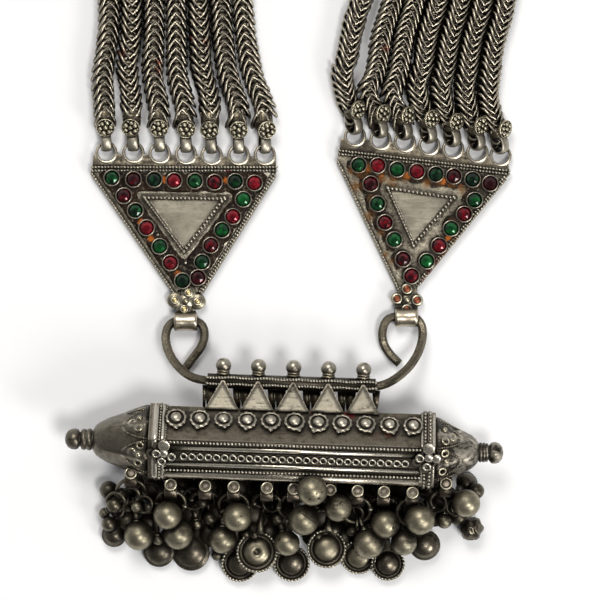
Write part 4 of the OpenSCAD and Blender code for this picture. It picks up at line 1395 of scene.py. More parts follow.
PITTED_DISH = (4, 0)
DARK_DISHES = ((3, 2), (5, 2), (8, 1))
CRUMPLED = (10, 1)
BALL_GROWTH = 1.12
RIM_BEAD_R, RIM_PITCH = 0.4, 0.9
PIT_R = 0.85


def dish_profile(r, pit=False):
    """A dished disc from the middle of its back over the rim and trough to the top of its boss."""
    rows = [(0, -0.55), (r - 1.4, -0.53), (r - 0.6, -0.3), (r - 0.12, 0.1), (r, 0.35), (r - 0.1, 0.55),
            (r - 0.4, 0.62), (0.87 * r, 0.3), (0.84 * r, -0.02), (0.77 * r, -0.12), (0.71 * r, -0.04),
            (0.67 * r, 0.4), (0.61 * r, 0.85), (0.52 * r, 1.2), (0.38 * r, 1.45)]
    if pit:
        return rows + [(0.27 * r, 1.5), (PIT_R, 1.46), (0.8 * PIT_R, 1.25), (0.5 * PIT_R, 1.0), (0, 0.92)]
    return rows + [(0.22 * r, 1.6), (0.1 * r, 1.68), (0, 1.7)]


def dome_profile(r):
    """The outside of a dish: a low dome with a step near its rim."""
    return [(0, -0.5), (r - 0.5, -0.45), (r - 0.05, -0.1), (r, 0.15), (r - 0.15, 0.4), (r - 0.5, 0.5),
            (0.82 * r, 0.62), (0.74 * r, 1.0), (0.6 * r, 1.45), (0.42 * r, 1.8), (0.22 * r, 2.0), (0, 2.06)]


def ball_shape(r, seam_tilt):
    """A ball of two halves with a low seam round it."""
    rows = []
    steps = 18
    for i in range(steps + 1):
        angle = math.pi * i / steps
        swell = 1 + 0.014 * math.exp(-((angle - math.pi / 2) / 0.06) ** 2)
        rows.append((r * swell * math.sin(angle) if 0 < i < steps else 0, -r * math.cos(angle)))
    points, faces = lathe(rows, 32)
    turn = Matrix.Rotation(seam_tilt, 4, "X")
    return [turn @ p for p in points], faces


# What lies dark under the drops, in a darker finish that paints the shade there: backs of dishes, balls and
# small rings, as x, y, z, radius
UNDER_DISHES = [(-33.5, -51.5, 1.4, 3.8), (-27.2, -53, 1.5, 4.2), (-20.8, -52.5, 1.4, 4),
                (-11.8, -53.5, 1.5, 4.3), (-4.8, -53.8, 1.4, 4), (5.4, -54.2, 1.5, 4.3),
                (13, -54.8, 1.4, 4), (19.5, -53.2, 1.5, 4), (25.5, -53.6, 1.4, 4.2),
                (33.6, -52.8, 1.5, 3.8), (-43.8, -52.2, 1.4, 3.6), (-40.5, -47, 1.3, 3),
                (-22.5, -58.4, 1.3, 3.4), (-7.5, -58.4, 1.3, 3.2), (10.6, -59, 1.3, 3.2),
                (28.4, -57.9, 1.3, 3.2), (-30, -46.8, 1.2, 3.8), (-23, -46.8, 1.2, 3.8),
                (-16, -47, 1.2, 3.8), (-9, -47.3, 1.2, 3.8), (-2, -47.6, 1.2, 3.8), (5, -47.8, 1.2, 3.8),
                (12, -48.1, 1.2, 3.8), (19, -47.4, 1.2, 3.8), (26, -47, 1.2, 3.8), (32.4, -46.6, 1.2, 3.4),
                (-37, -47, 1.2, 3.4), (-13.6, -58.8, 1.3, 3.2), (3.4, -58.6, 1.3, 3), (17.4, -57.4, 1.2, 3)]
UNDER_BALLS = [(-47.6, -47.4, 4, 2.3), (-46, -51, 6.5, 2.1), (-40.2, -51.8, 3.6, 2),
               (-22.4, -54.4, 6.4, 1.6), (-13.4, -58.1, 7.2, 1.1), (-11.2, -58.4, 8.4, 0.85),
               (4.4, -58.8, 4.2, 1.6), (35.2, -47.8, 6.4, 2), (-24.2, -50.4, 7.4, 1.5),
               (12.8, -57.4, 6.4, 1.4), (-5.6, -54.6, 6.2, 1.5), (24.8, -51.8, 4, 2),
               (-43, -55.2, 2.9, 2.7), (-44.4, -48.4, 6.6, 1.7), (-37.6, -55.4, 3, 2.5),
               (-37.4, -51.8, 7.6, 1.6), (-47.4, -55.8, 4.8, 1.9), (38.6, -50.2, 4.8, 2.5),
               (43.8, -47.6, 5.4, 2), (39.4, -54, 3.8, 2.3), (-31.4, -54.8, 3.4, 2.6),
               (-12, -57.6, 3.4, 2.4), (26.8, -55.4, 3.6, 2.5), (8.4, -57.4, 3.2, 2.4)]
UNDER_RINGS = [(-37.6, -48.6, 4, 3), (-29.4, -49.6, 4.2, 3.3), (-24.2, -50.2, 4, 3.1),
               (-16.6, -50.4, 4.2, 3.2), (-8.6, -50.8, 4, 3.2), (1.4, -51, 4.2, 3.2), (9.6, -51.4, 4, 3.1),
               (16.4, -51.6, 4.2, 3.2), (23, -51.8, 4, 3.2), (29.4, -51.2, 4.2, 3.1), (36.6, -49.4, 4, 3),
               (-26.5, -49.5, 7.5, 2.7), (-18.3, -51.6, 7.2, 2.5), (-7, -50.5, 8, 2.6),
               (13.5, -53.2, 7.5, 2.4), (33.8, -50.4, 8, 2.6), (-45.6, -50.2, 7.6, 2.5),
               (-41.8, -48.6, 8.4, 2.4), (-38.6, -50.8, 9, 2.1), (38.4, -51.4, 8, 2.2)]


def add_under_layer():
    """The lower drops, which only show as dark shapes between the upper ones, in a darker copy of the
    fringe's metal that paints the shade they lie in.
    """
    rng = random.Random(21)
    build = Build()
    for x, y, z, radius in UNDER_DISHES:
        tilt = Matrix.Rotation(rng.uniform(-0.12, 0.12), 4, "X")
        build.add(lathe(dome_profile(radius), 28), Matrix.Translation(pendant(x, y, z + 0.6)) @ tilt)
    for x, y, z, radius in UNDER_BALLS:
        build.add(ball_shape(radius, 0.4), Matrix.Translation(pendant(x, y, z)))
    for x, y, z, radius in UNDER_RINGS:
        lean = rng.uniform(0.1, 0.7)
        first, second = Vector((1, 0, lean)).normalized(), Vector((0, math.cos(lean), math.sin(lean)))
        build.add(tube(circle_route(pendant(x, y, z), first, second, radius, 28), 0.42 * MM, 8, True))
    build.piece("fringe_lower_drops", "shaded_low_drop")


SLEEVES = (-70, 75, 150)


def on_jump_ring(centre, down, across, angle):
    """A point of a jump ring's wire."""
    return centre + JUMP_R * MM * (math.cos(angle) * down + math.sin(angle) * across)


def ring_sleeve(centre, down, across, angle):
    """A short sleeve on a jump ring's wire."""
    start, end = (on_jump_ring(centre, down, across, angle + step) for step in (-0.12, 0.12))
    route = [start, start.lerp(end, 0.25), start.lerp(end, 0.75), end]
    return tube(route, [radius * MM for radius in (0.6, 0.78, 0.78, 0.6)], 10)


def add_fringe():
    rng = random.Random(11)
    rims = []
    dishes, domes = Build(), Build()
    for k, drops in enumerate(DROPS):
        build = Build()
        dip = math.radians(JUMP_DIP[k])
        eye = on_case(*EYES[k], FRINGE_Z)
        across, level = CASE_ALONG, math.cos(dip)
        down = Vector((-math.sin(CASE_TURN) * level, -math.cos(CASE_TURN) * level, -math.sin(dip)))
        centre = eye + JUMP_R * MM * down
        build.add(tube(circle_route(centre, down, across, JUMP_R, 40), JUMP_WIRE_R * MM, 10, True))
        for angle in SLEEVES:
            build.add(ring_sleeve(centre, down, across, math.radians(angle + rng.uniform(-20, 20))))
        for i, drop in enumerate(drops):
            rims += add_drop(build, dishes, domes, drop, centre, across, down, (k, i), rng)
        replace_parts(build.piece(f"fringe_drops_{k + 1}", "fringe"), f"bell_cluster_{k + 1}")
    dishes.piece("fringe_dishes", "dish")
    domes.piece("fringe_domes", "dome")
    add_beads("dish_rim_beads", rims, RIM_BEAD_R, RIM_PITCH, "rim", 0.1, 5, 0.9)


def crumpled_ball(radius):
    """A ball that was crushed into uneven folds."""
    turns = [math.pi * i / 22 for i in range(1, 22)]
    rows = [(radius * math.sin(turn), -radius * math.cos(turn)) for turn in turns]
    points, faces = lathe([(0, -radius), *rows, (0, radius)], 36)
    return [p * (1 + noise_at(p * 900) * 0.12 + noise_at(p.yzx * 2300) * 0.06) for p in points], faces


def grown_drop(drop):
    """The drawn place and radius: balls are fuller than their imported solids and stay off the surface."""
    kind, x, y, z, radius = drop[:5]
    if kind == "ball" and radius > 2:
        radius *= BALL_GROWTH
        z = max(z, radius + 0.1)
    return kind, x, y, z, radius


def add_ball(build, body, neck, radius, seam_tilt):
    """A ball with its stem and the small seat between them."""
    out = (neck - body).normalized()
    build.add(tube([neck, body + out * radius * 0.97 * MM], 0.6 * MM, 10))
    seat = body + out * (radius - 0.12) * MM
    build.add(tube([seat, seat + out * 0.35 * MM], [1.05 * MM, 0.8 * MM], 14))
    turn = out.to_track_quat("Z", "Y").to_matrix().to_4x4()
    build.add(ball_shape(radius, seam_tilt), Matrix.Translation(body) @ turn)


def add_drop(build, dishes, domes, drop, centre, across, down, key, rng):
    """Adds one drop with its eye, and returns the rim routes that get beads."""
    kind, x, y, z, radius = grown_drop(drop)
    body = pendant(x, y, z)
    arm = body - centre
    angle = math.radians(drop[5]) if len(drop) > 5 else math.atan2(arm.dot(across), arm.dot(down))
    hold = on_jump_ring(centre, down, across, angle)
    along = -math.sin(angle) * down + math.cos(angle) * across
    toward = body - hold
    level = (toward - toward.dot(along) * along).normalized()
    normal = along.cross(level)
    eye = circle_route(hold + EYE_SHIFT * MM * level, level, normal, EYE_R, 20)
    build.add(tube(eye, EYE_WIRE_R * MM, 8, True))
    neck = hold + (EYE_SHIFT + EYE_R) * MM * level
    if kind == "ball":
        add_ball(build, body, neck, radius, rng.uniform(-0.2, 0.2))
        return []
    lie = Vector((-toward.x, -toward.y, -toward.z * DISH_LEAN)).normalized()
    face = lie.cross(AXIS_Z.cross(lie)).normalized()
    foot = body + (radius - 0.5) * MM * lie
    build.add(tube([neck, neck.lerp(foot, 0.55), foot], [0.55 * MM, 0.75 * MM, 1.5 * MM], 12))
    matrix = place_of(body, lie, face.cross(lie), face)
    if key == CRUMPLED:
        domes.add(crumpled_ball(radius), matrix)
        return []
    if kind == "dome":
        domes.add(lathe(dome_profile(radius), 40), matrix)
        return []
    shape = lathe(dish_profile(radius, key == PITTED_DISH), 48)
    (domes if key in DARK_DISHES else dishes).add(shape, matrix)
    return [([matrix @ p for p in flat_circle(0.5 * MM * AXIS_Z, radius - 0.22, 40)], True)]


# Dark slits and pits of the balls, black patches that paint the shade inside them: the drop, direction out of
# it, length and width, and turn
BALL_MARKS = [((6, 0), (0.12, 0.35), 1.9, 0.34, 40), ((6, 0), (0.45, -0.75), 1.1, 0.5, -30),
              ((5, 1), (0.42, -0.5), 0.75, 0.6, 0), ((5, 1), (0.28, -0.18), 0.4, 0.35, 0),
              ((5, 1), (-0.15, -0.55), 0.5, 0.4, 60), ((5, 1), (0.05, -0.35), 0.3, 0.26, 0),
              ((5, 1), (0.62, -0.1), 0.35, 0.4, 0), ((7, 1), (0.42, 0.12), 0.4, 0.32, 0),
              ((8, 0), (0.5, -0.2), 0.9, 0.5, 80), ((3, 0), (0.3, 0.1), 0.5, 0.3, 20),
              ((3, 0), (0.1, -0.3), 0.3, 0.3, 0), ((4, 1), (-0.6, 0.35), 1.3, 0.35, 60)]
SEAM_DROP = (5, 0)


def mark_shape(radius, out, length, width, turn):
    """A thin dark patch that follows a ball and paints the shade in a slit or pit, in the ball's own frame.
    Sizes in mm.
    """
    normal = Vector((out[0], out[1], math.sqrt(max(0, 1 - out[0] ** 2 - out[1] ** 2))))
    first = Vector((math.cos(math.radians(turn)), math.sin(math.radians(turn)), 0))
    first = (first - first.dot(normal) * normal).normalized()
    second = normal.cross(first)
    points = [normal * (radius + 0.03) * MM]
    for i in range(14):
        angle = math.tau * i / 14
        spot = normal * radius + first * length / 2 * math.cos(angle) + second * width / 2 * math.sin(angle)
        points.append(spot.normalized() * (radius + 0.005) * MM)
    faces = [(0, 1 + i, 1 + (i + 1) % 14) for i in range(14)]
    return points, faces


def add_ball_marks():
    build = Build()
    for (cluster, number), out, length, width, turn in BALL_MARKS:
        _, x, y, z, radius = grown_drop(DROPS[cluster][number])
        build.add(mark_shape(radius, out, length, width, turn), Matrix.Translation(pendant(x, y, z)))
    _, x, y, z, radius = grown_drop(DROPS[SEAM_DROP[0]][SEAM_DROP[1]])
    arc = []
    for i in range(16):
        angle = math.radians(-35 + 100 * i / 15)
        spot = Vector((math.sin(angle) * 0.8 + 0.1, math.sin(angle) * -0.62 + 0.35, math.cos(angle)))
        arc.append(pendant(x, y, z) + spot.normalized() * (radius + 0.01) * MM)
    build.add(tube(arc, 0.07 * MM, 5))
    # The patches paint the shade in slits and pits; the seam line is a dark joint of the two halves
    build.piece("ball_marks", "black")


# Plates: outlines in the pendant's frame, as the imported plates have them
PLATE_T = 2.2
PLATES = {
    "left": {
        "body": [(-52, 33.5), (-52.5, 31.5), (-32, 1.7), (-24.3, 1.7), (-6, 31), (-6, 33.5)],
        "inner": [(-39.8, 26.2), (-18, 25.9), (-29, 11.3)],
        "top": [(-52.1, 33.4), (-6, 33.4)],
        "lac": [(141, 222), (151, 238), (178, 274), (164, 179), (226, 180), (134, 205)],
    },
    "right": {
        "body": [(9.8, 37.8), (9.2, 34.6), (24.2, 2.7), (29.8, 3.3), (51.9, 30.2), (52.4, 32.7)],
        "inner": [(21.3, 28.7), (39.4, 26), (28.4, 12.8)],
        "top": [(9.9, 37.6), (52.4, 32.5)],
        "lac": [(368, 168), (383, 177), (407, 176), (443, 181), (461, 188), (378, 200), (449, 238)],
    },
}


def solid_centres(node):
    """Middles of a node's separate solids, at z = 0."""
    mesh = nodes[node].data
    leader = {}

    def lead(key):
        while leader[key] != key:
            key = leader[key]
        return key

    keys = [tuple(round(c * 1e6) for c in vertex.co) for vertex in mesh.vertices]
    for key in keys:
        leader[key] = key
    for face in mesh.polygons:
        first = lead(keys[face.vertices[0]])
        for corner in face.vertices:
            leader[lead(keys[corner])] = first
    groups = {}
    for key, vertex in zip(keys, mesh.vertices):
        groups.setdefault(lead(key), []).append(vertex.co)
    middles = []
    for group in groups.values():
        xs, ys = [c.x for c in group], [c.y for c in group]
        middles.append(Vector(((min(xs) + max(xs)) / 2, (min(ys) + max(ys)) / 2, 0)))
    return middles


def inset_point(a, b, share, inset, inward):
    """A point along an edge, moved toward the inside of its outline. The inset is in mm."""
    edge = (b - a).normalized()
    side = Vector((-edge.y, edge.x, 0))
    if side.dot(inward - a) < 0:
        side = -side
    return a + (b - a) * share + side * inset * MM


def edge_line(a, b, inset, inward, z, start=0.0, end=1.0):
    """An open path beside an edge, at a height in mm."""
    lift = Vector((0, 0, z * MM))
    return [inset_point(a, b, share, inset, inward) + lift for share in (start, end)], False


def inside(point, outline):
    """Whether a point lies inside an outline, and how far from its nearest edge, in metres."""
    hit = False
    nearest = 1.0
    for a, b in zip(outline, outline[1:] + outline[:1]):
        if (a.y > point.y) != (b.y > point.y):
            if point.x < a.x + (b.x - a.x) * (point.y - a.y) / (b.y - a.y):
                hit = not hit
        share = max(0, min(1, (point - a).dot(b - a) / (b - a).length_squared))
        nearest = min(nearest, (point - a - share * (b - a)).length)
    return hit, nearest


# Lac between the bezels, in mm: step of its mesh, distance from the plate's border and from the raised
# triangle, height, and how far the orange marks and the rust reach
LAC_STEP = 0.32
LAC_BORDER = 1.3
LAC_FRAME_GAP = 0.7
LAC_HIGH = 1.98
MARK_REACH = 1.4
RUST_NEAR = 2.6
BED_REACH = {"left": 9, "right": 2.15}
RUSTY_REACH = 3.1


def gap_to(point, places):
    """How far the nearest of some places is, in mm."""
    return min((point - place).length for place in places) / MM


def lac_height(point, near, room):
    """Height of the lac in mm. It swells beside the stones and thins out where there is little room."""
    wave = noise_at(point * 420) * 0.32 + noise_at(point * 1500) * 0.14
    swell = 0.55 * math.exp(-((near - 2.2) / 1.1) ** 2)
    return LAC_HIGH + min(1, room / (LAC_FRAME_GAP * MM)) * (0.2 + wave + swell)


def lac_bed(side, plate, stones):
    """Dark lac between the bezels: a thin uneven sheet, with orange marks where it is fresh."""
    outline, inner = ([pendant(*p) for p in plate[part]] for part in ("body", "inner"))
    marks = [pixel(*p) for p in plate["lac"]]
    rusty = [pixel(px, py) for px, py, _ in RUST]
    low_x, high_x = min(p.x for p in outline), max(p.x for p in outline)
    low_y, high_y = min(p.y for p in outline), max(p.y for p in outline)
    step = LAC_STEP * MM
    points, marked, index = [], [], {}
    for i in range(int((high_x - low_x) / step) + 1):
        for j in range(int((high_y - low_y) / step) + 1):
            point = Vector((low_x + i * step, low_y + j * step, 0))
            within, border = inside(point, outline)
            holed, frame_gap = inside(point, inner)
            room = min(border - LAC_BORDER * MM, frame_gap - LAC_FRAME_GAP * MM)
            if not within or holed or room < 0:
                continue
            near = gap_to(point, stones)
            rust = side == "right" and gap_to(point, rusty) < RUST_NEAR
            reach = RUSTY_REACH if rust else BED_REACH[side]
            if near > reach + 0.5 * noise_at(point * 900):
                continue
            index[i, j] = len(points)
            points.append(point + Vector((0, 0, lac_height(point, near, room) * MM)))
            marked.append(max(0, 1 - gap_to(point, marks) / MARK_REACH))
    faces = []
    for (i, j), a in index.items():
        corner = [index.get(key) for key in ((i + 1, j), (i + 1, j + 1), (i, j + 1))]
        if None not in corner:
            faces.append((a, *corner))
    bed = mesh_object(f"{side}_lac_bed", points, faces)
    set_layer(bed, "fresh", marked)
    return bed


def noise_at(point):
    """A smooth uneven value between -1 and 1."""
    across = math.sin(point.x * 1.3 + 2.1 * math.sin(point.y * 0.9))
    return across * math.sin(point.y * 1.1 + 1.7 * math.sin(point.x))


LAC_BROWN, LAC_BLACK = (0.018, 0.010, 0.005, 1), (0.006, 0.004, 0.003, 1)
LAC_DUST, LAC_ORANGE = (0.15, 0.125, 0.09, 1), (0.37, 0.1, 0.013, 1)


def lac_finish():
    """Dark lac with patches and dust, orange where the layer fresh says so."""
    material, tree, shader = new_material("old_lac")
    place = object_place(tree)
    patch = noise(tree, place, 260.0)
    dust = noise(tree, place, 1400.0)
    brown = mix(tree, span(tree, patch, 0.4, 0.65), LAC_BROWN, LAC_BLACK, "RGBA")
    dusty = mix(tree, span(tree, dust, 0.56, 0.72), brown, LAC_DUST, "RGBA")
    spot = maths(tree, "MULTIPLY", read_layer(tree, "fresh"), span(tree, dust, 0.35, 0.6, 0.7, 1.6))
    color = mix(tree, span(tree, spot, 0.35, 0.75), dusty, LAC_ORANGE, "RGBA")
    tree.links.new(color, shader.inputs["Base Color"])
    tree.links.new(span(tree, dust, 0.3, 0.7, 0.4, 0.7), shader.inputs["Roughness"])
    shader.inputs["Specular IOR Level"].default_value = 0.1
    tree.links.new(bump_from(tree, dust, 0.5), shader.inputs["Normal"])
    return material


# Cut stones: rows of corners, share of the radius, share of the height, turn in steps
STONE_R = 1.76
STONE_FLOOR = 2.5
STONE_RISE = 1.35
STONE_LEAN = 0.08
STONE_ROWS = [(8, 0.42, 1.0, 0.5), (8, 0.78, 0.72, 0.0), (16, 1.0, 0.42, 0.0), (16, 1.0, 0.3, 0.0),
              (16, 0.6, 0.0, 0.0)]


def cut_stone(radius, rise, turn):
    """A small table, eight star and eight kite facets over a sixteen-sided girdle."""
    points, rings = [], []
    for count, share, height, offset in STONE_ROWS:
        rings.append(list(range(len(points), len(points) + count)))
        for j in range(count):
            angle = turn + math.tau * (j + offset) / count
            x, y = radius * share * math.cos(angle), radius * share * math.sin(angle)
            points.append(Vector((x, y, rise * height)) * MM)
    table, kite, girdle, skirt, base = rings
    faces = [tuple(table), tuple(base[::-1])]
    for j in range(8):
        k = (j + 1) % 8
        left, middle, right = girdle[2 * j], girdle[2 * j + 1], girdle[2 * k]
        faces += [(table[j], kite[j], kite[k]), (table[j - 1], kite[j], table[j]),
                  (kite[j], left, middle), (kite[j], middle, kite[k]), (kite[k], middle, right)]
    for upper, lower in ((girdle, skirt), (skirt, base)):
        for j in range(16):
            k = (j + 1) % 16
            faces.append((upper[j], lower[j], lower[k], upper[k]))
    return points, faces


def add_stones():
    rng = random.Random(4)
    for side in ("left", "right"):
        for tint in ("red", "green"):
            node = f"{side}_{tint}_stones"
            build = Build()
            tones, rims = [], []
            for centre in solid_centres(node):
                stone = cut_stone(STONE_R, STONE_RISE, rng.uniform(0, 0.8))
                seat = Matrix.Translation(centre + Vector((0, 0, STONE_FLOOR * MM)))
                for axis in "XY":
                    seat = seat @ Matrix.Rotation(rng.uniform(-STONE_LEAN, STONE_LEAN), 4, axis)
                build.add(stone, seat)
                tones += [rng.uniform(0, 1)] * len(stone[0])
                # Darker toward each stone's rim: painted shade of the bezel wall
                rims += [(p.xy.length / (STONE_R * MM)) ** 4 for p in stone[0]]
            piece = mesh_object(f"{side}_{tint}_cut_stones", build.points, build.faces, smooth=False)
            set_layer(piece, "tone", tones)
            set_layer(piece, "rim", rims)
            add_piece(piece, FINISH[tint])
            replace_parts(piece, node)


def glass_finish(name, deep, bright):
    """Foil-backed glass: a dark body colour, a bright one in noise patches that paint the foil's glint, more
    on some stones than others, darker toward each stone's rim as painted shade of the bezel, and a clear
    coat.
    """
    material, tree, shader = new_material(name)
    # Bright patches in the colour: painted glint of the foil
    glint = span(tree, noise(tree, object_place(tree), 900.0, 2.0), 0.35, 0.7)
    tone = span(tree, read_layer(tree, "tone"), 0, 1, -0.55, 0.3)
    level = maths(tree, "ADD", glint, tone, clamp=True)
    # Painted shade of the bezel wall: darker toward the stone's rim
    level = maths(tree, "MULTIPLY", level, span(tree, read_layer(tree, "rim"), 0.25, 1.0, 1.0, 0.0))
    tree.links.new(mix(tree, level, deep, bright, "RGBA"), shader.inputs["Base Color"])
    for label, value in (("Metallic", 0.45), ("Roughness", 0.12), ("IOR", 1.4), ("Coat Weight", 0.6),
                         ("Coat Roughness", 0.06)):
        shader.inputs[label].default_value = value
    return material


FINISH["red"] = glass_finish("ruby_glass", (0.02, 0.0006, 0.002, 1), (0.3, 0.0035, 0.014, 1))
FINISH["green"] = glass_finish("emerald_glass", (0.0004, 0.008, 0.003, 1), (0.003, 0.14, 0.024, 1))
FINISH["lac"] = lac_finish()

# Rust of the right plate round its upper and left stones, and red residue: photo pixels and reach in mm
RUST = [(352, 170, 1.6), (362, 171, 2.4), (371, 167, 1.8), (383, 178, 1.8), (393, 181, 2.0),
        (406, 177, 1.6), (415, 172, 1.2), (427, 183, 1.6), (441, 181, 1.8), (452, 184, 1.4),
        (475, 181, 1.8), (462, 190, 1.6), (356, 186, 2.2), (372, 198, 1.6), (369, 216, 1.8),
        (381, 232, 1.4), (386, 254, 1.2), (452, 222, 1.4), (455, 240, 1.2), (391, 262, 1.2)]
RED_RESIDUE = [(437, 262, 1.6), (444, 253, 1.5), (430, 271, 1.4), (423, 280, 1.2), (400, 263, 1.4),
               (198, 273, 1.6), (202, 280, 1.8), (228, 172, 1.2), (214, 178, 1.2)]
CASE_RESIDUE = [(341, 414, 1.5), (345, 414.5, 1.7), (350, 415, 1.5), (312, 412, 0.9)]
FACE_RESIDUE = [(374, 437, 1.6), (386, 434, 1.4)]
CHAIN_RESIDUE = [(121, 52, 1.6), (158, 62, 1.4), (158, 70, 1.3), (191, 38, 1.4), (206, 42, 1.1),
                 (386, 48, 1.4)]


# Stains: the finishes that take them, colour, spots and their height in mm
PLATE_METAL = ("bezel", "plate", "bead")
STAINS = [
    (PLATE_METAL, (0.15, 0.068, 0.02, 1), RUST, 2.4), (PLATE_METAL, (0.12, 0.02, 0.018, 1), RED_RESIDUE, 2.4),
    (("lac",), (0.13, 0.05, 0.012, 1), RUST, 2.4), (("case",), (0.09, 0.006, 0.006, 1), CASE_RESIDUE, 16),
    (("case",), (0.08, 0.02, 0.012, 1), FACE_RESIDUE, 18.5),
    (("chain",), (0.2, 0.055, 0.035, 1), CHAIN_RESIDUE, 4.6)]
for stained, color, spots, height in STAINS:
    for name in stained:
        add_stain(FINISH[name], color, [(pixel(px, py, height), reach) for px, py, reach in spots])

# Plate skins: heights in mm over the surface that the necklace lies on
RING_R, RING_WIRE = 2.42, 0.4
FIELD_HIGH = 2.85
FIELD_SHARE = 0.8
CUP_ROWS = [(0, 1.9), (2.16, 1.9), (2.13, 3.15), (2.08, 3.4), (1.98, 3.5), (1.88, 3.42), (1.84, 3.15),
            (1.82, 2.45), (0, 2.45)]
# Plate flowers: petal centres, leaf radius, cup radius
PETALS = {"left": ([(188.4, 292.6), (174.8, 300), (197.6, 301.4), (184.2, 309)], 2.05, 0.86),
          "right": ([(406.9, 288.9), (397, 298.6), (417, 300.2), (406.9, 309.4)], 1.6, 1.12)}
FLOWER_MIDDLE = {"left": (186, 301), "right": (407.2, 299.8)}
LEAF_ROWS = [(0, 0.3), (0.93, 0.35), (1, 0.7), (0.97, 0.86), (0.85, 0.95), (0, 1)]
LEAF_HIGH = 2.8
TONGUE = {"left": [(-31, 2.8), (-31, -4.0), (-26.2, -4.0), (-26, 2.8)],
          "right": [(24.4, 3.4), (23.6, -3.2), (29.6, -3.2), (29.4, 3.4)]}

# Strap bails round the hook wire: middle, half width on its left and right, and rows of radius and width
BAILS = {"left": (-28.6, -5.4, 2.75, 2.75), "right": (26.2, -4.4, 2.3, 3.1)}
BAIL_Z = 2.5
BAIL_ROWS = [(1.65, -1), (1.65, 1), (2.0, 1.06), (2.3, 0.98), (2.36, 0.8), (2.22, 0.3), (2.22, -0.3),
             (2.36, -0.8), (2.3, -0.98), (2.0, -1.06)]


def slab(outline, low, high, bevel):
    """A plate with a rounded top edge over an outline that runs to the left round its inside."""
    count = len(outline)
    moved = []
    for i, corner in enumerate(outline):
        before, after = outline[i - 1], outline[(i + 1) % count]
        first, second = (corner - before).normalized(), (after - corner).normalized()
        inward = Vector((-first.y - second.y, first.x + second.x, 0))
        reach = max(0.5, inward.length_squared / 2)
        moved.append(inward / reach * bevel * MM)
    levels = [(low, 0.0), (high - bevel, 0.0), (high - 0.3 * bevel, 0.3), (high, 1.0)]
    points = [corner + shift * share + Vector((0, 0, height * MM))
              for height, share in levels for corner, shift in zip(outline, moved)]
    faces = [tuple(range(count))[::-1], tuple(range(3 * count, 4 * count))]
    return points, faces + grid_faces(len(levels), count, False, True)


def strip_outline(side, plate):
    """The ring strip: a straight foot and a top edge that follows the lower half of each ring."""
    left, right = plate["top"]
    rings = RINGS[side]
    edge = 0.55
    outline = [left, right, (right[0], rings[-1][1] - edge)]
    for x, y in rings[::-1]:
        for i in range(11):
            angle = -math.pi * (0.04 + 0.092 * i)
            outline.append((x + RING_R * math.cos(angle), y + RING_R * math.sin(angle)))
    outline.append((left[0] + 0.3, rings[0][1] - edge))
    return [pendant(*point) for point in outline]


def plate_flower(side):
    """The four leaves of a plate's flower round a domed middle, and the domed hearts of the leaves."""
    petals, hearts = Build(), Build()
    spots, leaf_r, cup_r = PETALS[side]
    leaf = lathe([(share * leaf_r, height * LEAF_HIGH) for share, height in LEAF_ROWS], 28)
    for px, py in spots + [FLOWER_MIDDLE[side]]:
        petals.add(leaf, Matrix.Translation(pixel(px, py)))
    for px, py in spots:
        petals.add(small_ring(cup_r, 0.27, 24), Matrix.Translation(pixel(px, py, LEAF_HIGH + 0.12)))
        hearts.add(dome_button(cup_r * 0.82, 0.25), Matrix.Translation(pixel(px, py, LEAF_HIGH)))
    petals.add(dome_button(0.75, 0.75), Matrix.Translation(pixel(*FLOWER_MIDDLE[side], LEAF_HIGH)))
    return petals, hearts


def add_plate_skins():
    for side, plate in PLATES.items():
        body, strip, cups, rings = Build(), Build(), Build(), Build()
        body.add(slab([pendant(*p) for p in plate["body"]], 0.0, PLATE_T, 0.35))
        strip.add(slab(strip_outline(side, plate), 0.0, PLATE_T - 0.1, 0.12))
        body.add(slab([pendant(*p) for p in TONGUE[side]], 0.4, PLATE_T, 0.3))
        inner = [pendant(*plate["inner"][i]) for i in (0, 2, 1)]
        body.add(slab(inner, 1.8, FIELD_HIGH, 0.3))
        for tint in ("red", "green"):
            for centre in solid_centres(f"{side}_{tint}_stones"):
                cups.add(lathe(CUP_ROWS, 32), Matrix.Translation(centre))
        for x, y in RINGS[side]:
            rings.add(tube(flat_circle(pendant(x, y, RING_Z), RING_R, 40), RING_WIRE * MM, 10, True))
        x, y, near, far = BAILS[side]
        wide = [(radius, along * (near if along < 0 else far)) for radius, along in BAIL_ROWS]
        rings.add(revolved(wide, 32, pendant(x, y, BAIL_Z), AXIS_X, AXIS_Z))
        petals, hearts = plate_flower(side)
        hearts.piece(f"{side}_flower_hearts", "gilt" if side == "left" else "russet")
        cups.piece(f"{side}_bezels", "bezel")
        strip.piece(f"{side}_ring_strip", "strip")
        rings.piece(f"{side}_rings", "chain")
        petals.piece(f"{side}_plate_flower", "petal")
        middle = sum(inner, Vector()) / 3
        field = [middle + (corner - middle) * FIELD_SHARE for corner in inner]
        sheet = slab(field, FIELD_HIGH - 0.4, FIELD_HIGH + 0.05, 0.04)
        add_piece(mesh_object(f"{side}_field", *sheet), FINISH["field"])
        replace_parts(body.piece(f"{side}_plate_skin", "plate"), f"{side}_plate")


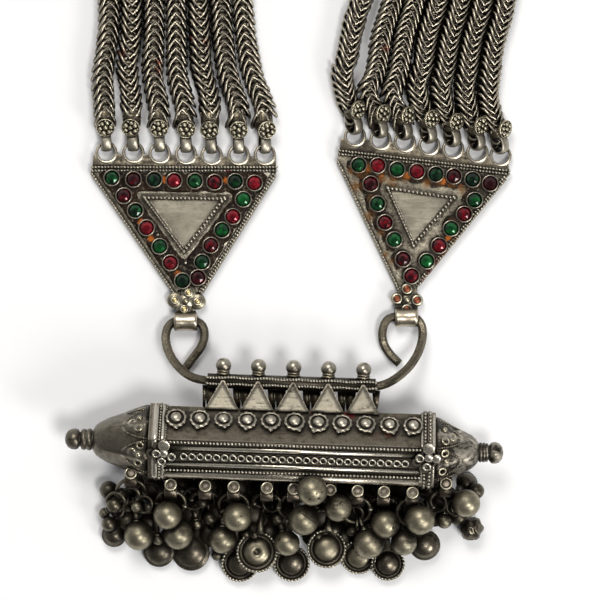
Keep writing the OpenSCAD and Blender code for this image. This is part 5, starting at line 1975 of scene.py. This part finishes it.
# Twisted wires of the plates: radius and pitch of the turns
ROPE_R = 0.4
ROPE_PITCH = 0.8


def add_plate_trim():
    for side, plate in PLATES.items():
        stones = [c for tint in ("red", "green") for c in solid_centres(f"{side}_{tint}_stones")]
        body, inner, top = ([pendant(*p) for p in plate[part]] for part in ("body", "inner", "top"))
        middle = sum(inner, Vector()) / 3
        left, right = body[1:3], body[3:5]
        paths = [edge_line(*edge, inset, middle, z) for edge, inset, z in (
            (left, 0.4, 2.3), (right, 0.45, 2.35), (right, 1.0, 2.3), (top, 0.1, 2.35), (top, 0.95, 2.35))]
        paths.append(edge_line(inner[2], inner[0], 0.35, middle, 2.95, 0.04, 0.96))
        thick = [edge_line(inner[i], inner[i + 1], 0.55, middle, 2.95, 0.04, 0.96) for i in (0, 1)]
        add_beads(f"{side}_twisted_wires", paths, ROPE_R, ROPE_PITCH, "bead", 0.1, 9, 1.15, 0.7)
        add_beads(f"{side}_field_ropes", thick, 1.35 * ROPE_R, 1.25 * ROPE_PITCH, "bead", 0.08, 4, 1.15, 0.9)
        add_piece(lac_bed(side, plate, stones), FINISH["lac"])


def dress_nodes():
    """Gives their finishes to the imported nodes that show. Other pieces stand for the rest."""
    wear(nodes["amulet_case"], FINISH["case"])
    wear(nodes["hook_wire"], FINISH["hook"])


FLOOR_HALF = 3.0
FLOOR_COLOR = (0.795, 0.8, 0.81, 1)


def add_floor():
    corners = [(x * FLOOR_HALF, y * FLOOR_HALF, 0) for x, y in ((-1, -1), (1, -1), (1, 1), (-1, 1))]
    floor = mesh_object("floor", corners, [(0, 1, 2, 3)])
    material, _, shader = new_material("white_paper")
    shader.inputs["Base Color"].default_value = FLOOR_COLOR
    shader.inputs["Roughness"].default_value = 0.8
    wear(floor, material)


add_camera()
add_lights()
add_room()
add_floor()
dress_nodes()
add_chains()
add_chain_ends()
add_case_trim()
add_end_caps()
add_collars()
add_fringe()
add_under_layer()
add_ball_marks()
add_plate_skins()
add_plate_trim()
add_stones()
